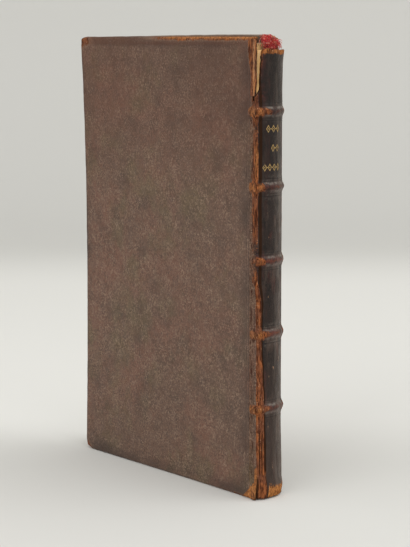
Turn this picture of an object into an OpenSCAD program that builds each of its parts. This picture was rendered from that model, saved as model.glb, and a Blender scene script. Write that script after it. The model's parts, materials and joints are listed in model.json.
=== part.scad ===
// Small antique book in a full leather binding, sewn on five raised cords.
// The book stands upright on its tail. The spine points to +X, the back cover faces -Y.
// The headcap is lost, the head endband is bare and the back joint is split at its head.

/* [Book] */
// Height of the back cover
cover_h = 168; // [140:1:230]
// Width of each cover, from its joint edge to its fore-edge
cover_w = 98; // [70:1:150]
// Thickness over both covers
book_t = 13; // [12:0.5:30]
// How much taller the front cover stands than the back one
front_rise = 0.8; // [0:0.1:1.5]

/* [Covers] */
// Thickness of the pasteboard
board_t = 1.8; // [1.4:0.1:2.6]
// Thickness of the covering leather
leather_t = 0.8; // [0.5:0.1:1.1]
// Width of the leather turned over onto the inside of a board
turn_in_w = 12; // [8:1:16]
// Thickness of the pared turn-in, let into the board
turn_in_t = 0.35; // [0.2:0.05:0.5]
// Thickness of the paper pasted on the inside of a cover
pastedown_t = 0.2; // [0.1:0.05:0.3]
// How much of the turn-in the pasted paper leaves bare
pastedown_margin = 3; // [2:0.5:6]
// Radius of a cover's two fore-edge corners
corner_r = 2.5; // [1.5:0.5:5]
// Rounding of a cover's edges on the outside
outer_round = 1.1; // [0.6:0.1:1.2]
// Rounding of a cover's edges on the inside
inner_round = 0.5; // [0.3:0.1:0.7]
// Overhang of the covers past the leaves at head, tail and fore-edge
square_w = 2.2; // [1.8:0.1:4]

/* [Joints] */
// Distance from the hinge line to a cover's joint edge
joint_gap = 0.8; // [0.7:0.1:1.4]
// Distance from the hinge line to the shoulder of the leaves
shoulder_gap = 0.3; // [0.2:0.05:0.5]
// How far the hinge line lies outside a cover's outer face
hinge_out = 0.5; // [0.4:0.1:1]
// Distance from the hinge line to the edge of the spine leather
spine_lip = 0.6; // [0.4:0.1:1]

/* [Spine] */
// How far the round of the spine stands past the hinge lines
spine_rise = 2.8; // [2:0.1:5]
// Height of the lowest raised band above the tail
first_band = 33.2; // [24:0.2:36]
// Depth of the highest raised band below the head of the back cover
last_band_drop = 26.8; // [25:0.2:36]
// Height of a raised band above the leather beside it
band_h = 0.95; // [0.6:0.05:1.2]
// Width of a raised band at its foot
band_w = 4.6; // [3.6:0.2:6]
// Diameter of a sewing cord
cord_d = 1.6; // [1.2:0.1:1.8]
// Depth to which a cord is bedded in the folds of the leaves
cord_bed = 0.45; // [0.3:0.05:0.7]
// Thickness of the parchment that lines the spine between the cords, and of the silk tied down there
lining_t = 0.25; // [0.15:0.05:0.35]
// Height of the spine leather's tail edge above the tail of the covers
spine_foot = 0.2; // [0.1:0.1:1]
// How far the leather swells out over the tail endband
tail_swell = 0.5; // [0:0.1:0.9]
// Height of that swelling
tail_swell_w = 7.6; // [4:0.2:9]
// Bevel of the worn tail edge of the spine leather
foot_bevel = 0.4; // [0.1:0.05:0.6]
// Height of leather lost at the head of the spine
head_loss = 4.8; // [3:0.1:8]
// Length of the split at the head of the back joint, from the top of the cover
split_len = 22; // [12:1:40]
// Width of leather lost along that split at the head
split_w = 3.4; // [1.5:0.1:4.5]
// Thickness of the cap that the leather forms under the tail endband
cap_t = 0.35; // [0.2:0.05:0.4]

/* [Endbands] */
// Diameter of an endband over its silk
endband_d = 1.4; // [1:0.1:1.6]
// Diameter of the cord inside an endband
endband_core_d = 0.8; // [0.5:0.1:0.9]
// How far the bare head endband has lifted off the leaves
head_lift = 1.4; // [0:0.1:1.6]
// Length of the silk tied down over the back of the leaves
tie_down = 2.4; // [1:0.1:3]

/* [Leaves] */
// Thickness of a flyleaf
flyleaf_t = 0.2; // [0.1:0.05:0.3]
// Depth of the hollow in the fore-edge of the leaves
fore_hollow = 1.1; // [0.4:0.1:1.6]
// Air between a closed cover and the leaves
page_gap = 0.15; // [0.1:0.05:0.4]

/* [Cord slips] */
// Length of a cord's frayed slip on a board
slip_len = 13; // [8:1:18]
// Thickness of a slip, let into the board
slip_t = 0.6; // [0.4:0.1:0.8]
// Width of a slip at its spread end
slip_w = 5; // [3:0.5:7]

/* [Hidden] */
$fn = 96;
band_count = 5;
glue_gap = 0.03;     // between two curved or nested layers that are glued together
cord_gap = 0.08;     // between a cord and what lies round it
cut_past = 1;        // how far a cutting shape runs past what it cuts

half_t = book_t / 2;
hinge_y = half_t + hinge_out;
inside_y = half_t - leather_t - board_t - pastedown_t;
flyleaf_y = inside_y - page_gap;
leaves_y = flyleaf_y - flyleaf_t;
front_h = cover_h + front_rise;
head_z = cover_h - square_w;
tail_z = square_w;

// The spine is part of a cylinder that runs through the edges of its leather
spine_sag = spine_rise - spine_lip;
spine_r = (half_t * half_t + spine_sag * spine_sag) / (2 * spine_sag);
spine_cx = spine_rise - spine_r;
spine_half = asin(half_t / spine_r);
leather_in_r = spine_r - leather_t;
lining_out_r = leather_in_r - glue_gap;
lining_in_r = lining_out_r - lining_t;
leaves_r = lining_in_r - glue_gap;
cord_r = leaves_r - cord_bed + cord_d / 2;
cord_reach = cord_r + cord_d / 2 + cord_gap - leather_in_r;
hollow_h = max(band_h - leather_t / 8, cord_reach);

shoulder_x = -shoulder_gap;
fore_x = -joint_gap - cover_w + square_w;
shoulder_y = sqrt(pow(leaves_r, 2) - pow(shoulder_x - spine_cx, 2));
shoulder_half = asin(shoulder_y / leaves_r);
fore_r = (leaves_y * leaves_y + fore_hollow * fore_hollow) / (2 * fore_hollow);

leather_top = cover_h - head_loss;
endband_r = leaves_r - endband_d / 2 + 0.1;
endband_half = asin(leaves_y / lining_out_r);

// The middle of the whole book, from fore-edge to the top of the raised bands
middle_x = (spine_rise + band_h - joint_gap - cover_w) / 2;

// Distance from one raised band to the next
band_pitch = (cover_h - last_band_drop - first_band) / (band_count - 1);

back_side = -1;
front_side = 1;

function band_z(i) = first_band + band_pitch * (i - 1);

// Points along a smooth swelling of height h and width w, centred at height z on radius r
swell_steps = 12;
function swell_points(r, h, z, w) = [
    for (k = [0:swell_steps])
        let (turn = 360 * (k / swell_steps - 0.5))
        [r + h * (0.5 + 0.5 * cos(turn)), z + w * turn / 360]
];
function bands_upward(r, h) = [
    for (i = [1:band_count]) each swell_points(r, h, band_z(i), band_w)
];
function outside_upward() = concat(
    [[spine_r - foot_bevel, spine_foot]],
    swell_points(spine_r, tail_swell, spine_foot + foot_bevel + tail_swell_w / 2, tail_swell_w),
    bands_upward(spine_r, band_h)
);
function reversed(list) = [for (k = [len(list) - 1:-1:0]) list[k]];

cords = [for (i = [1:band_count]) str("sewing_cord_", i)];
linings = [for (i = [1:band_count + 1]) str("lining_panel_", i)];

// Puts the origin under the middle of the book
module placed() translate([-middle_x, 0, 0]) children();

// Sweeps a profile of radius and height round the spine
module round_spine(half_angle)
    translate([spine_cx, 0, 0])
        rotate([0, 0, -half_angle])
            rotate_extrude(angle = 2 * half_angle) children();

// Turns what is drawn for the back cover into the front one
module on_side(side) mirror([0, side == front_side ? 1 : 0, 0]) children();

// The folded and sewn leaves
module text_block()
    color("#d8c7a0")
    difference() {
        translate([0, 0, tail_z])
            linear_extrude(head_z - tail_z)
                leaves_plan();
        for (i = [1:band_count])
            round_spine(spine_half + 5)
                translate([cord_r, band_z(i)])
                    circle(cord_d / 2 + cord_gap / 2);
    }

// Seen from above: straight leaves, two shoulders, a round back and a hollow fore-edge
module leaves_plan()
    difference() {
        union() {
            translate([fore_x, -leaves_y])
                square([shoulder_x - fore_x + shoulder_gap, 2 * leaves_y]);
            intersection() {
                translate([spine_cx, 0]) circle(leaves_r);
                translate([shoulder_x, -half_t]) square([spine_r, book_t]);
            }
        }
        translate([fore_x + fore_hollow - fore_r, 0]) circle(fore_r);
    }

// A blank leaf at the front or back of the sewn leaves
module flyleaf(side)
    color("#cdb88a")
    on_side(side)
    translate([fore_x, -flyleaf_y, tail_z])
        cube([shoulder_x - glue_gap - fore_x, flyleaf_t, head_z - tail_z]);

// A cord that the leaves are sewn on, round the back of the leaves
module sewing_cord(i)
    color("#b09468")
    round_spine(shoulder_half)
        translate([cord_r, band_z(i)])
            circle(cord_d / 2);

// Parchment glued on the spine in one space between the cords
module lining_panel(i) {
    clear = cord_d / 2 + cord_gap;
    low = i == 1 ? tail_z + tie_down + glue_gap : band_z(i - 1) + clear;
    high = i > band_count ? head_z - tie_down - glue_gap : band_z(i) - clear;
    color("#dcc68e")
    round_spine(shoulder_half)
        translate([lining_in_r, low])
            square([lining_t, high - low]);
}

// Places an endband's section at the head or tail, with the leaves' end as its base
module at_end(is_head)
    translate([0, 0, is_head ? head_z : tail_z])
        mirror([0, 0, is_head ? 0 : 1]) children();

function band_lift(is_head) = is_head ? head_lift : 0;

module endband_core(is_head)
    color("#c9a877")
    at_end(is_head)
        round_spine(endband_half)
            translate([endband_r, band_lift(is_head) + endband_d / 2 + glue_gap])
                circle(endband_core_d / 2);

// Silk wound round the core and tied down over the back of the leaves
module endband_silk(is_head)
    color("#a02822")
    at_end(is_head)
        round_spine(endband_half)
            difference() {
                union() {
                    translate([endband_r, band_lift(is_head) + endband_d / 2 + glue_gap])
                        circle(endband_d / 2);
                    translate([endband_r - endband_d / 2, glue_gap])
                        square([endband_d, band_lift(is_head) + endband_d / 2]);
                    translate([lining_in_r - endband_d / 4, glue_gap])
                        square([endband_d / 4 + lining_t, endband_d / 2]);
                    translate([lining_in_r, -tie_down])
                        square([lining_t, tie_down + endband_d / 2]);
                }
                translate([endband_r, band_lift(is_head) + endband_d / 2 + glue_gap])
                    circle(endband_core_d / 2 + glue_gap);
            }

// Leather glued over the round back, raised over the cords and torn at the head
module spine_leather()
    color("#38302c")
    difference() {
        union() {
            round_spine(spine_half)
                polygon(concat(
                    [[leather_in_r, spine_foot]],
                    bands_upward(leather_in_r, hollow_h),
                    [[leather_in_r, leather_top], [spine_r, leather_top]],
                    reversed(outside_upward())
                ));
            round_spine(endband_half)
                translate([leaves_r - endband_d, spine_foot])
                    square([leather_in_r + leather_t / 2 - leaves_r + endband_d, cap_t]);
        }
        head_split();
    }

// The strip of leather that is lost beside the split joint
module head_split() {
    foot_z = cover_h - split_len;
    translate([spine_cx, 0, 0])
        rotate([90, 0, 90])
            linear_extrude(spine_r + band_h + cut_past)
                polygon([
                    [-half_t - cut_past, foot_z],
                    [-half_t + spine_lip / 2, foot_z],
                    [-half_t + 0.6 * split_w, foot_z + split_w],
                    [-half_t + split_w, leather_top + cut_past],
                    [-half_t - cut_past, leather_top + cut_past]
                ]);
}

// The shape of a cover's board, or of a cover with its leather: front view with two round corners
module cover_outline(inset, height) {
    r = max(corner_r - inset, 0.5);
    left = -joint_gap - cover_w + inset;
    translate([left, inset]) {
        translate([r, 0]) square([cover_w - inset - r, height - 2 * inset]);
        translate([0, r]) square([cover_w - inset, height - 2 * inset - 2 * r]);
        for (z = [r, height - 2 * inset - r])
            translate([r, z]) circle(r);
    }
}

// Stands an outline up at a depth below the back cover's outer face
module upright(depth, thickness)
    translate([0, -half_t + depth + thickness, 0])
        rotate([90, 0, 0])
            linear_extrude(thickness) children();

// The inner window that the turned-in leather leaves open, up to the joint edge
module turn_in_window(height, grow)
    translate([-joint_gap - cover_w + turn_in_w - grow, turn_in_w - grow])
        square([cover_w - turn_in_w + 2 * grow + cut_past, height - 2 * turn_in_w + 2 * grow]);

// A section across the cover's edge: thickness along X, with a round on either side
module edge_section(length, t) {
    translate([outer_round, 0]) square([t - outer_round - inner_round, length]);
    translate([0, outer_round]) square([t, length - 2 * outer_round]);
    translate([t / 2, inner_round]) square([t / 2, length - 2 * inner_round]);
    for (y = [outer_round, length - outer_round])
        translate([outer_round, y]) circle(outer_round);
    for (y = [inner_round, length - inner_round])
        translate([t - inner_round, y]) circle(inner_round);
}

// Leather and board together, with rounded edges at head, tail and fore-edge
module cover_body(height) {
    t = leather_t + board_t;
    intersection() {
        upright(0, t) cover_outline(0, height);
        // rounds at head and tail
        translate([-joint_gap - cover_w - cut_past, -half_t, 0])
            rotate([90, 0, 90])
                linear_extrude(cover_w + 2 * cut_past)
                    edge_section(height, t);
        // round at the fore-edge: the section runs on past the joint edge, where it is cut square
        translate([-joint_gap - cover_w, -half_t, -cut_past])
            linear_extrude(height + 2 * cut_past)
                rotate([0, 0, -90])
                    mirror([1, 0])
                        edge_section(cover_w + 2 * cut_past + outer_round, t);
    }
}

// The pasteboard, let in for the turn-ins and the cord slips
module board(side, height)
    color("#a58d6c")
    on_side(side)
    difference() {
        union() {
            upright(leather_t, board_t - turn_in_t) cover_outline(leather_t, height);
            intersection() {
                upright(leather_t, board_t) cover_outline(leather_t, height);
                upright(leather_t, board_t) turn_in_window(height, -glue_gap);
            }
        }
        for (i = [1:band_count]) slip(i, glue_gap);
    }

// The end of one cord, frayed out and pasted into its channel on the outside of the board
module slip(i, grow)
    translate([-joint_gap, 0, band_z(i)])
        upright(leather_t - (grow > 0 ? cut_past : 0), slip_t + (grow > 0 ? cut_past : 0) + grow)
            polygon([
                [grow > 0 ? cut_past : -glue_gap, cord_d / 2 + grow],
                [-slip_len - grow, slip_w / 2 + grow],
                [-slip_len - grow, -slip_w / 2 - grow],
                [grow > 0 ? cut_past : -glue_gap, -cord_d / 2 - grow]
            ]);

module cord_slips(side)
    color("#b09468")
    on_side(side)
    for (i = [1:band_count]) slip(i, 0);

// The covering leather of one cover: outer sheet, wrapped edges and turn-ins
module cover_leather(side, height)
    color("#5f4a3d")
    on_side(side)
    difference() {
        cover_body(height);
        intersection() {
            upright(leather_t - glue_gap, board_t - turn_in_t + 2 * glue_gap)
                cover_outline(leather_t - glue_gap, height);
            upright(0, book_t) square_past_joint(height);
        }
        upright(leather_t + glue_gap, board_t + cut_past) turn_in_window(height, 0);
        upright(leather_t - glue_gap, board_t - turn_in_t + 2 * glue_gap)
            translate([-joint_gap - cut_past, leather_t])
                square([2 * cut_past, height - 2 * leather_t]);
    }

// A front-view rectangle that covers the cover and runs past its joint edge
module square_past_joint(height)
    translate([-joint_gap - cover_w - cut_past, 0])
        square([cover_w + 2 * cut_past, height]);

// Paper pasted on the inside of a cover, over the turn-ins
module pastedown(side, height)
    color("#cdb88a")
    on_side(side)
    upright(leather_t + board_t, pastedown_t)
        translate([-joint_gap - cover_w + pastedown_margin, pastedown_margin])
            square([cover_w - pastedown_margin, height - 2 * pastedown_margin]);

placed() text_block();
placed() flyleaf(back_side);  // back_flyleaf
placed() flyleaf(front_side);  // front_flyleaf
for (i = [1:band_count])
    placed() sewing_cord(i);
for (i = [1:band_count + 1])
    placed() lining_panel(i);
placed() endband_core(true);  // head_endband_core
placed() endband_silk(true);  // head_endband_silk
placed() endband_core(false);  // tail_endband_core
placed() endband_silk(false);  // tail_endband_silk
placed() spine_leather();
placed() board(back_side, cover_h);  // back_board
placed() cord_slips(back_side);  // back_cord_slips
placed() cover_leather(back_side, cover_h);  // back_leather
placed() pastedown(back_side, cover_h);  // back_pastedown
placed() board(front_side, front_h);  // front_board
placed() cord_slips(front_side);  // front_cord_slips
placed() cover_leather(front_side, front_h);  // front_leather
placed() pastedown(front_side, front_h);  // front_pastedown
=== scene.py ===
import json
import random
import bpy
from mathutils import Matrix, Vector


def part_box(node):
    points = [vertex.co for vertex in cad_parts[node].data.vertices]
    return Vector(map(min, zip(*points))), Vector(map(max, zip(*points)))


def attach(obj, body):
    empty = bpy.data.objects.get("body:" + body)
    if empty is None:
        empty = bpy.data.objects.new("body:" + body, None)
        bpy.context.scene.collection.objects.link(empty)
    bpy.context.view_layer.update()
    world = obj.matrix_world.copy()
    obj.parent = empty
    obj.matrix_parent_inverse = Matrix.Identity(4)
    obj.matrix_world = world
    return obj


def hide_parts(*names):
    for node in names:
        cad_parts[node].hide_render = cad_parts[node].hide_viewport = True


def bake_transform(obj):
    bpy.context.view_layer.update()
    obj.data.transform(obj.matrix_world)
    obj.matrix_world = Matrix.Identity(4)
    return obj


bl_info = {
    "name": "Antique Leather Book",
    "version": (1, 0, 0),
    "blender": (4, 5, 0),
    "location": "3D View > Sidebar > Book",
    "description": "Dresses a small antique book in worn leather, paper, silk and gilding",
    "category": "Object",
}

from math import asin, atan2, cos, hypot, pi, radians, sin

import bmesh
import bpy
from bpy.props import FloatProperty, FloatVectorProperty, IntProperty, PointerProperty
from bpy.types import Operator, Panel, PropertyGroup
from mathutils import Matrix, Vector, noise

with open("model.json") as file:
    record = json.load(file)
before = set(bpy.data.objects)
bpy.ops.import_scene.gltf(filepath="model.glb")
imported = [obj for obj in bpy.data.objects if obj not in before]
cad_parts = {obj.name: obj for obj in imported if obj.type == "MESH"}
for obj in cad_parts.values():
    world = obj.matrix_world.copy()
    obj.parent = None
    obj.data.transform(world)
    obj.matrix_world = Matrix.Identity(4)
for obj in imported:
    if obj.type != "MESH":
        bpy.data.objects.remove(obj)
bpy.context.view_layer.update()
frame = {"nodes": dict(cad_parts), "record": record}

MM = 0.001
BACK, FRONT = -1, 1
SIDE_NAMES = {BACK: "back", FRONT: "front"}
COVER_BODIES = {BACK: "back_cover", FRONT: "front_cover"}
BAND_COUNT = 5

BACK_LOW, BACK_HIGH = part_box("back_leather")
FRONT_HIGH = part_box("front_leather")[1]
SPINE_LOW, SPINE_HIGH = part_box("spine_leather")
LEAVES_LOW, LEAVES_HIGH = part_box("text_block")
CORD_BOXES = [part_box(f"sewing_cord_{i + 1}") for i in range(BAND_COUNT)]

HINGES = {j["child"]: Vector(j["pos_m"]) for j in frame["record"]["behaviour"]["joints"]}
HINGE_X = HINGES["back_cover"].x
HALF_T = -BACK_LOW.y
JOINT_X = BACK_HIGH.x
FORE_X = BACK_LOW.x
COVER_W = JOINT_X - FORE_X
HEIGHTS = {BACK: BACK_HIGH.z, FRONT: FRONT_HIGH.z}
BAND_Z = [(low.z + high.z) / 2 for low, high in CORD_BOXES]
# How far the leather over each cord, from the tail up, has been pushed past the cord's middle
BAND_LIFTS = (0.6 * MM, 1.1 * MM, 0.75 * MM, 0.3 * MM, 0.35 * MM)
# Points closer than WELD are merged, and a cut uses the points that lie closer to it than CUT_SNAP
WELD = 0.001 * MM
CUT_SNAP = 0.0002 * MM
# Air under a second layer of leather
LEATHER_GAP = 0.04 * MM
# From the middle of a band to the tooled lines above and below it
LINE_FROM_BAND = 3.1 * MM
# How far the spine's leather may pass the covers' faces and still clear a cover that lies wide open
SPINE_ROOM = 0.42 * MM


def tone(red, green, blue):
    """A colour given in 0 to 255, as Blender's own linear values."""
    def linear(value):
        value /= 255
        return value / 12.92 if value <= 0.04045 else ((value + 0.055) / 1.055) ** 2.4
    return linear(red), linear(green), linear(blue)


def length(name, description, default):
    return FloatProperty(name=name, description=description, default=default, unit="LENGTH",
                         precision=5)


def colour(name, description, default):
    return FloatVectorProperty(name=name, description=description, default=tone(*default),
                               subtype="COLOR", size=3, min=0, max=1)


class BookSizes(PropertyGroup):
    """Sizes of the binding that the frame's boxes don't give"""
    spine_rise: length("Spine rise", "How far the round spine stands past the hinge lines", 2.8 * MM)
    spine_lip: length("Spine lip", "From a hinge line to the edge of the spine leather", 0.6 * MM)
    band_rise: length("Band rise", "Height of a raised band", 0.95 * MM)
    leather: length("Leather", "Thickness of the leather", 0.8 * MM)
    joint_leather: length("Joint leather", "Thickness of the pared leather over a joint", 0.35 * MM)
    lip_leather: length("Lip leather", "Thickness of the leather torn off with the back cover", 0.4 * MM)
    curl_head: length("Head curl", "How far the back cover's head corner has curled outwards", 2.2 * MM)
    curl_tail: length("Tail curl", "How far the back cover's tail corner has curled outwards", 1.1 * MM)
    curl_front: length("Front curl", "How far the front cover's corners have curled outwards", 0.8 * MM)
    split_head: length("Head split", "Length of the split at the head of the back joint", 22 * MM)
    split_tail: length("Tail split", "Length of the split at the tail of the back joint", 8 * MM)
    leaf_count: IntProperty(name="Leaves", description="How many bundles of leaves show at the edges",
                            default=72, min=8, max=120)
    fore_hollow: length("Fore-edge hollow", "Depth of the hollow in the leaves' fore-edge", 1.1 * MM)
    overlap: length("Overlap", "How far the joint leather laps the rounded edge of a board", 0.9 * MM)
    fillet: length("Fillet", "Width of a tooled line", 0.42 * MM)
    brown_margin: length("Browned margin", "How far the turned-in leather has browned the paper", 14 * MM)
    endband: length("Endband", "Thickness of an endband over its silk", 1.4 * MM)
    thread: length("Thread", "Radius of the endband silk", 0.14 * MM)


class BookColours(PropertyGroup):
    """Colours of the binding, as they look in plain light"""
    calf: colour("Calf", "The covers' brown", (101, 77, 63))
    calf_light: colour("Light calf", "Paler patches and specks of the covers", (160, 133, 112))
    calf_dark: colour("Dark calf", "Darker patches and specks of the covers", (58, 45, 38))
    calf_red: colour("Red calf", "Warm patches of the covers", (120, 82, 66))
    calf_olive: colour("Olive calf", "Olive patches of the covers", (100, 84, 62))
    spine: colour("Spine", "The darkened spine", (38, 26, 21))
    spine_light: colour("Light spine", "Rubbed places on the spine", (69, 54, 46))
    # A painted sheen: the paler grey laid on the spine past its middle.
    spine_sheen: colour("Rubbed spine", "Leather rubbed paler by hands", (120, 106, 95))
    # A painted highlight: the pale grey laid on the band edges and on the ridges beside the tooled lines.
    band_highlight: colour("Grey spine", "Polished ridges on the bands", (122, 112, 103))
    spine_dark: colour("Dark spine", "The darkest places on the spine", (20, 13, 9))
    spine_red: colour("Red spine", "Reddish leather on the bands", (92, 44, 34))
    worn: colour("Worn leather", "Leather abraded to its flesh", (151, 90, 54))
    worn_deep: colour("Deep wear", "Cracks and stains in the abraded leather", (68, 37, 25))
    worn_brown: colour("Brown wear", "Soiled parts of the abraded leather", (112, 71, 53))
    worn_pale: colour("Pale wear", "Dry edges of the abraded leather", (198, 152, 116))
    # A painted highlight: the pale line along the front cover's head edge.
    head_highlight: colour("Dust", "Pale dust on the front cover's head edge", (156, 142, 128))
    calf_warm: colour("Warm calf", "Reddish brown towards the covers' head", (84, 47, 28))
    # Painted shade: the dark brown laid in the spine's creases, folds and gaps.
    crease_shade: colour("Crease", "Dark brown in the spine's creases", (48, 30, 19))
    worn_fresh: colour("Fresh wear", "Clean tan of the torn corners", (184, 122, 68))
    gold: colour("Gold", "Rubbed gold leaf", (176, 146, 92))
    paper: colour("Paper", "Aged paper", (214, 196, 160))
    paper_brown: colour("Browned paper", "Browned margins of the paper", (160, 122, 78))
    parchment: colour("Parchment", "Spine lining", (226, 177, 114))
    silk: colour("Silk", "Red silk of the endbands", (196, 22, 30))
    # Painted shadow and painted highlight: the dark red and the pale pink laid on the silk.
    silk_shadow: colour("Dark silk", "Soiled silk deep in the endbands", (98, 18, 20))
    silk_highlight: colour("Faded silk", "Faded ends of the silk", (240, 160, 140))
    cord: colour("Cord", "Hemp cord", (158, 124, 80))
    board: colour("Board", "Pasteboard", (150, 116, 78))


class BookStage(PropertyGroup):
    """The camera, the light and the floor"""
    camera_place: FloatVectorProperty(name="Camera", description="Where the camera stands",
                                      default=(450.5 * MM, -387.6 * MM, 168.3 * MM),
                                      subtype="TRANSLATION")
    camera_turn: FloatProperty(name="Turn", description="Camera's turn from straight on to the back cover",
                               default=radians(48.38), subtype="ANGLE")
    camera_pitch: FloatProperty(name="Pitch", description="How far the camera looks down",
                                default=radians(6.69), subtype="ANGLE")
    lens: FloatProperty(name="Lens", description="Focal length in millimetres", default=102.7)
    shift: FloatProperty(name="Shift", description="Vertical lens shift", default=-0.10)
    floor: colour("Floor", "Floor round the book", (217, 216, 211))
    lit: colour("Lit floor", "Paler floor behind the book", (230, 229, 224))
    # Painted shade: the backdrop made greyer than the floor.
    shaded_backdrop: colour("Backdrop", "Backdrop above the floor", (206, 205, 200))
    world: FloatProperty(name="Sky", description="Strength of the light from all round", default=0.84)
    key: FloatProperty(name="Key", description="Power of the large lamp above the book",
                       default=5.0, unit="POWER")
    fill: FloatProperty(name="Fill", description="Power of the lamp that faces the cover",
                        default=2.4, unit="POWER")


def sizes():
    return bpy.context.scene.book_sizes


def colours():
    return bpy.context.scene.book_colours


def smooth(low, high, value):
    """0 below low, 1 above high, and a smooth step between them; low may be the larger."""
    t = min(1.0, max(0.0, (value - low) / (high - low)))
    return t * t * (3 - 2 * t)


def near(distance, reach):
    """1 at no distance, fading smoothly to 0 at reach."""
    return 1 - smooth(0, reach, abs(distance))


def cloud(point, size, seed=0.0):
    """Soft noise from about -1 to 1 whose lumps are about size wide."""
    return noise.noise(Vector(point) / size + Vector((seed * 3.7, seed * 1.3, seed * 5.1)))


def view_axes():
    """The level directions away from the camera and to the camera's right."""
    turn = bpy.context.scene.book_stage.camera_turn
    return Vector((-sin(turn), cos(turn), 0)), Vector((cos(turn), sin(turn), 0))


# Geometry helpers

def mesh_object(bm, name, material, shade_smooth=True):
    """Makes the bmesh an object at the origin, with its material."""
    mesh = bpy.data.meshes.new(name)
    bm.to_mesh(mesh)
    bm.free()
    piece = bpy.data.objects.new(name, mesh)
    bpy.context.scene.collection.objects.link(piece)
    mesh.materials.append(material)
    mesh.polygons.foreach_set("use_smooth", [shade_smooth] * len(mesh.polygons))
    return piece


def object_from(bm, name, finish, body=None, shade_smooth=True):
    """Makes the bmesh a piece of the book with a named finish, riding on body."""
    piece = mesh_object(bm, name, bpy.data.materials[finish], shade_smooth)
    if body:
        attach(piece, body)
    return piece


def copy_of(node):
    """A welded bmesh of a CAD node's mesh, with its flat faces made whole again."""
    bm = bmesh.new()
    bm.from_mesh(frame["nodes"][node].data)
    bmesh.ops.remove_doubles(bm, verts=bm.verts, dist=WELD)
    bmesh.ops.dissolve_limit(bm, angle_limit=radians(0.5), verts=bm.verts, edges=bm.edges)
    return bm


def cut_at(bm, place, normal):
    """Cuts the whole mesh with the plane through a place across a normal."""
    everything = bm.verts[:] + bm.edges[:] + bm.faces[:]
    bmesh.ops.bisect_plane(bm, geom=everything, dist=CUT_SNAP, plane_co=place, plane_no=normal)


def cut(bm, normal, places):
    """Cuts the mesh with planes across a normal at the given distances along it."""
    for place in places:
        cut_at(bm, Vector(normal) * place, normal)


def cut_round(bm, angles):
    """Cuts the mesh with upright planes through the spine's axis at the given angles."""
    for angle in angles:
        cut_at(bm, (spine_axis_x(), 0, 0), (-sin(angle), cos(angle), 0))


def steps(start, end, step):
    """Evenly spaced values between start and end, without either end."""
    count = max(1, round(abs(end - start) / step))
    return [start + (end - start) * i / count for i in range(1, count)]


def edge_and_field(low, high, fine, coarse, border):
    """Cuts that lie close together near both ends and further apart between them."""
    field = [low + border] + steps(low + border, high - border, coarse) + [high - border]
    return steps(low, low + border, fine) + field + steps(high - border, high, fine)


def new_verts(geometry):
    return [part for part in geometry if isinstance(part, bmesh.types.BMVert)]


def face_outwards(bm, side):
    """Turns all faces of an open sheet beside a cover towards that cover's outside."""
    bmesh.ops.recalc_face_normals(bm, faces=bm.faces)
    if sum(face.normal.y for face in bm.faces) * side < 0:
        bmesh.ops.reverse_faces(bm, faces=bm.faces)


def paint(piece, name, rule, places=None):
    """Stores rule(place) for each vertex as a named value that a material reads.

    Where the vertices have been moved, places are the ones that they had before.
    """
    values = piece.data.attributes.new(name, "FLOAT", "POINT")
    places = places or [v.co for v in piece.data.vertices]
    values.data.foreach_set("value", [rule(place) for place in places])


def sweep_thread(bm, points, radius, segments=6):
    """A closed tube along a few points, thinner at its far end."""
    rings = []
    for i, point in enumerate(points):
        ahead = points[min(i + 1, len(points) - 1)] - points[max(i - 1, 0)]
        turn = ahead.to_track_quat("Z", "Y").to_matrix().to_4x4()
        taper = 1 - 0.35 * i / (len(points) - 1)
        ring = bmesh.ops.create_circle(bm, cap_ends=i in (0, len(points) - 1), segments=segments,
                                       radius=radius * taper, matrix=Matrix.Translation(point) @ turn)
        rings.append(ring["verts"])
    for first, second in zip(rings, rings[1:]):
        edges = [e for verts in (first, second) for e in {e for v in verts for e in v.link_edges}
                 if e.verts[0] in verts and e.verts[1] in verts]
        bmesh.ops.bridge_loops(bm, edges=edges)


# The arc of the spine

def spine_radius():
    sag = sizes().spine_rise - sizes().spine_lip
    return (HALF_T ** 2 + sag ** 2) / (2 * sag)


def spine_axis_x():
    return HINGE_X + sizes().spine_rise - spine_radius()


def spine_half_angle():
    return asin(HALF_T / spine_radius())


def on_spine(angle, z, lift=0.0):
    """A point on the spine leather; negative angles lie towards the back cover."""
    reach = spine_radius() + lift
    return Vector((spine_axis_x() + reach * cos(angle), reach * sin(angle), z))


def spine_angle(point):
    return atan2(point.y, point.x - spine_axis_x())


# Material helpers

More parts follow.
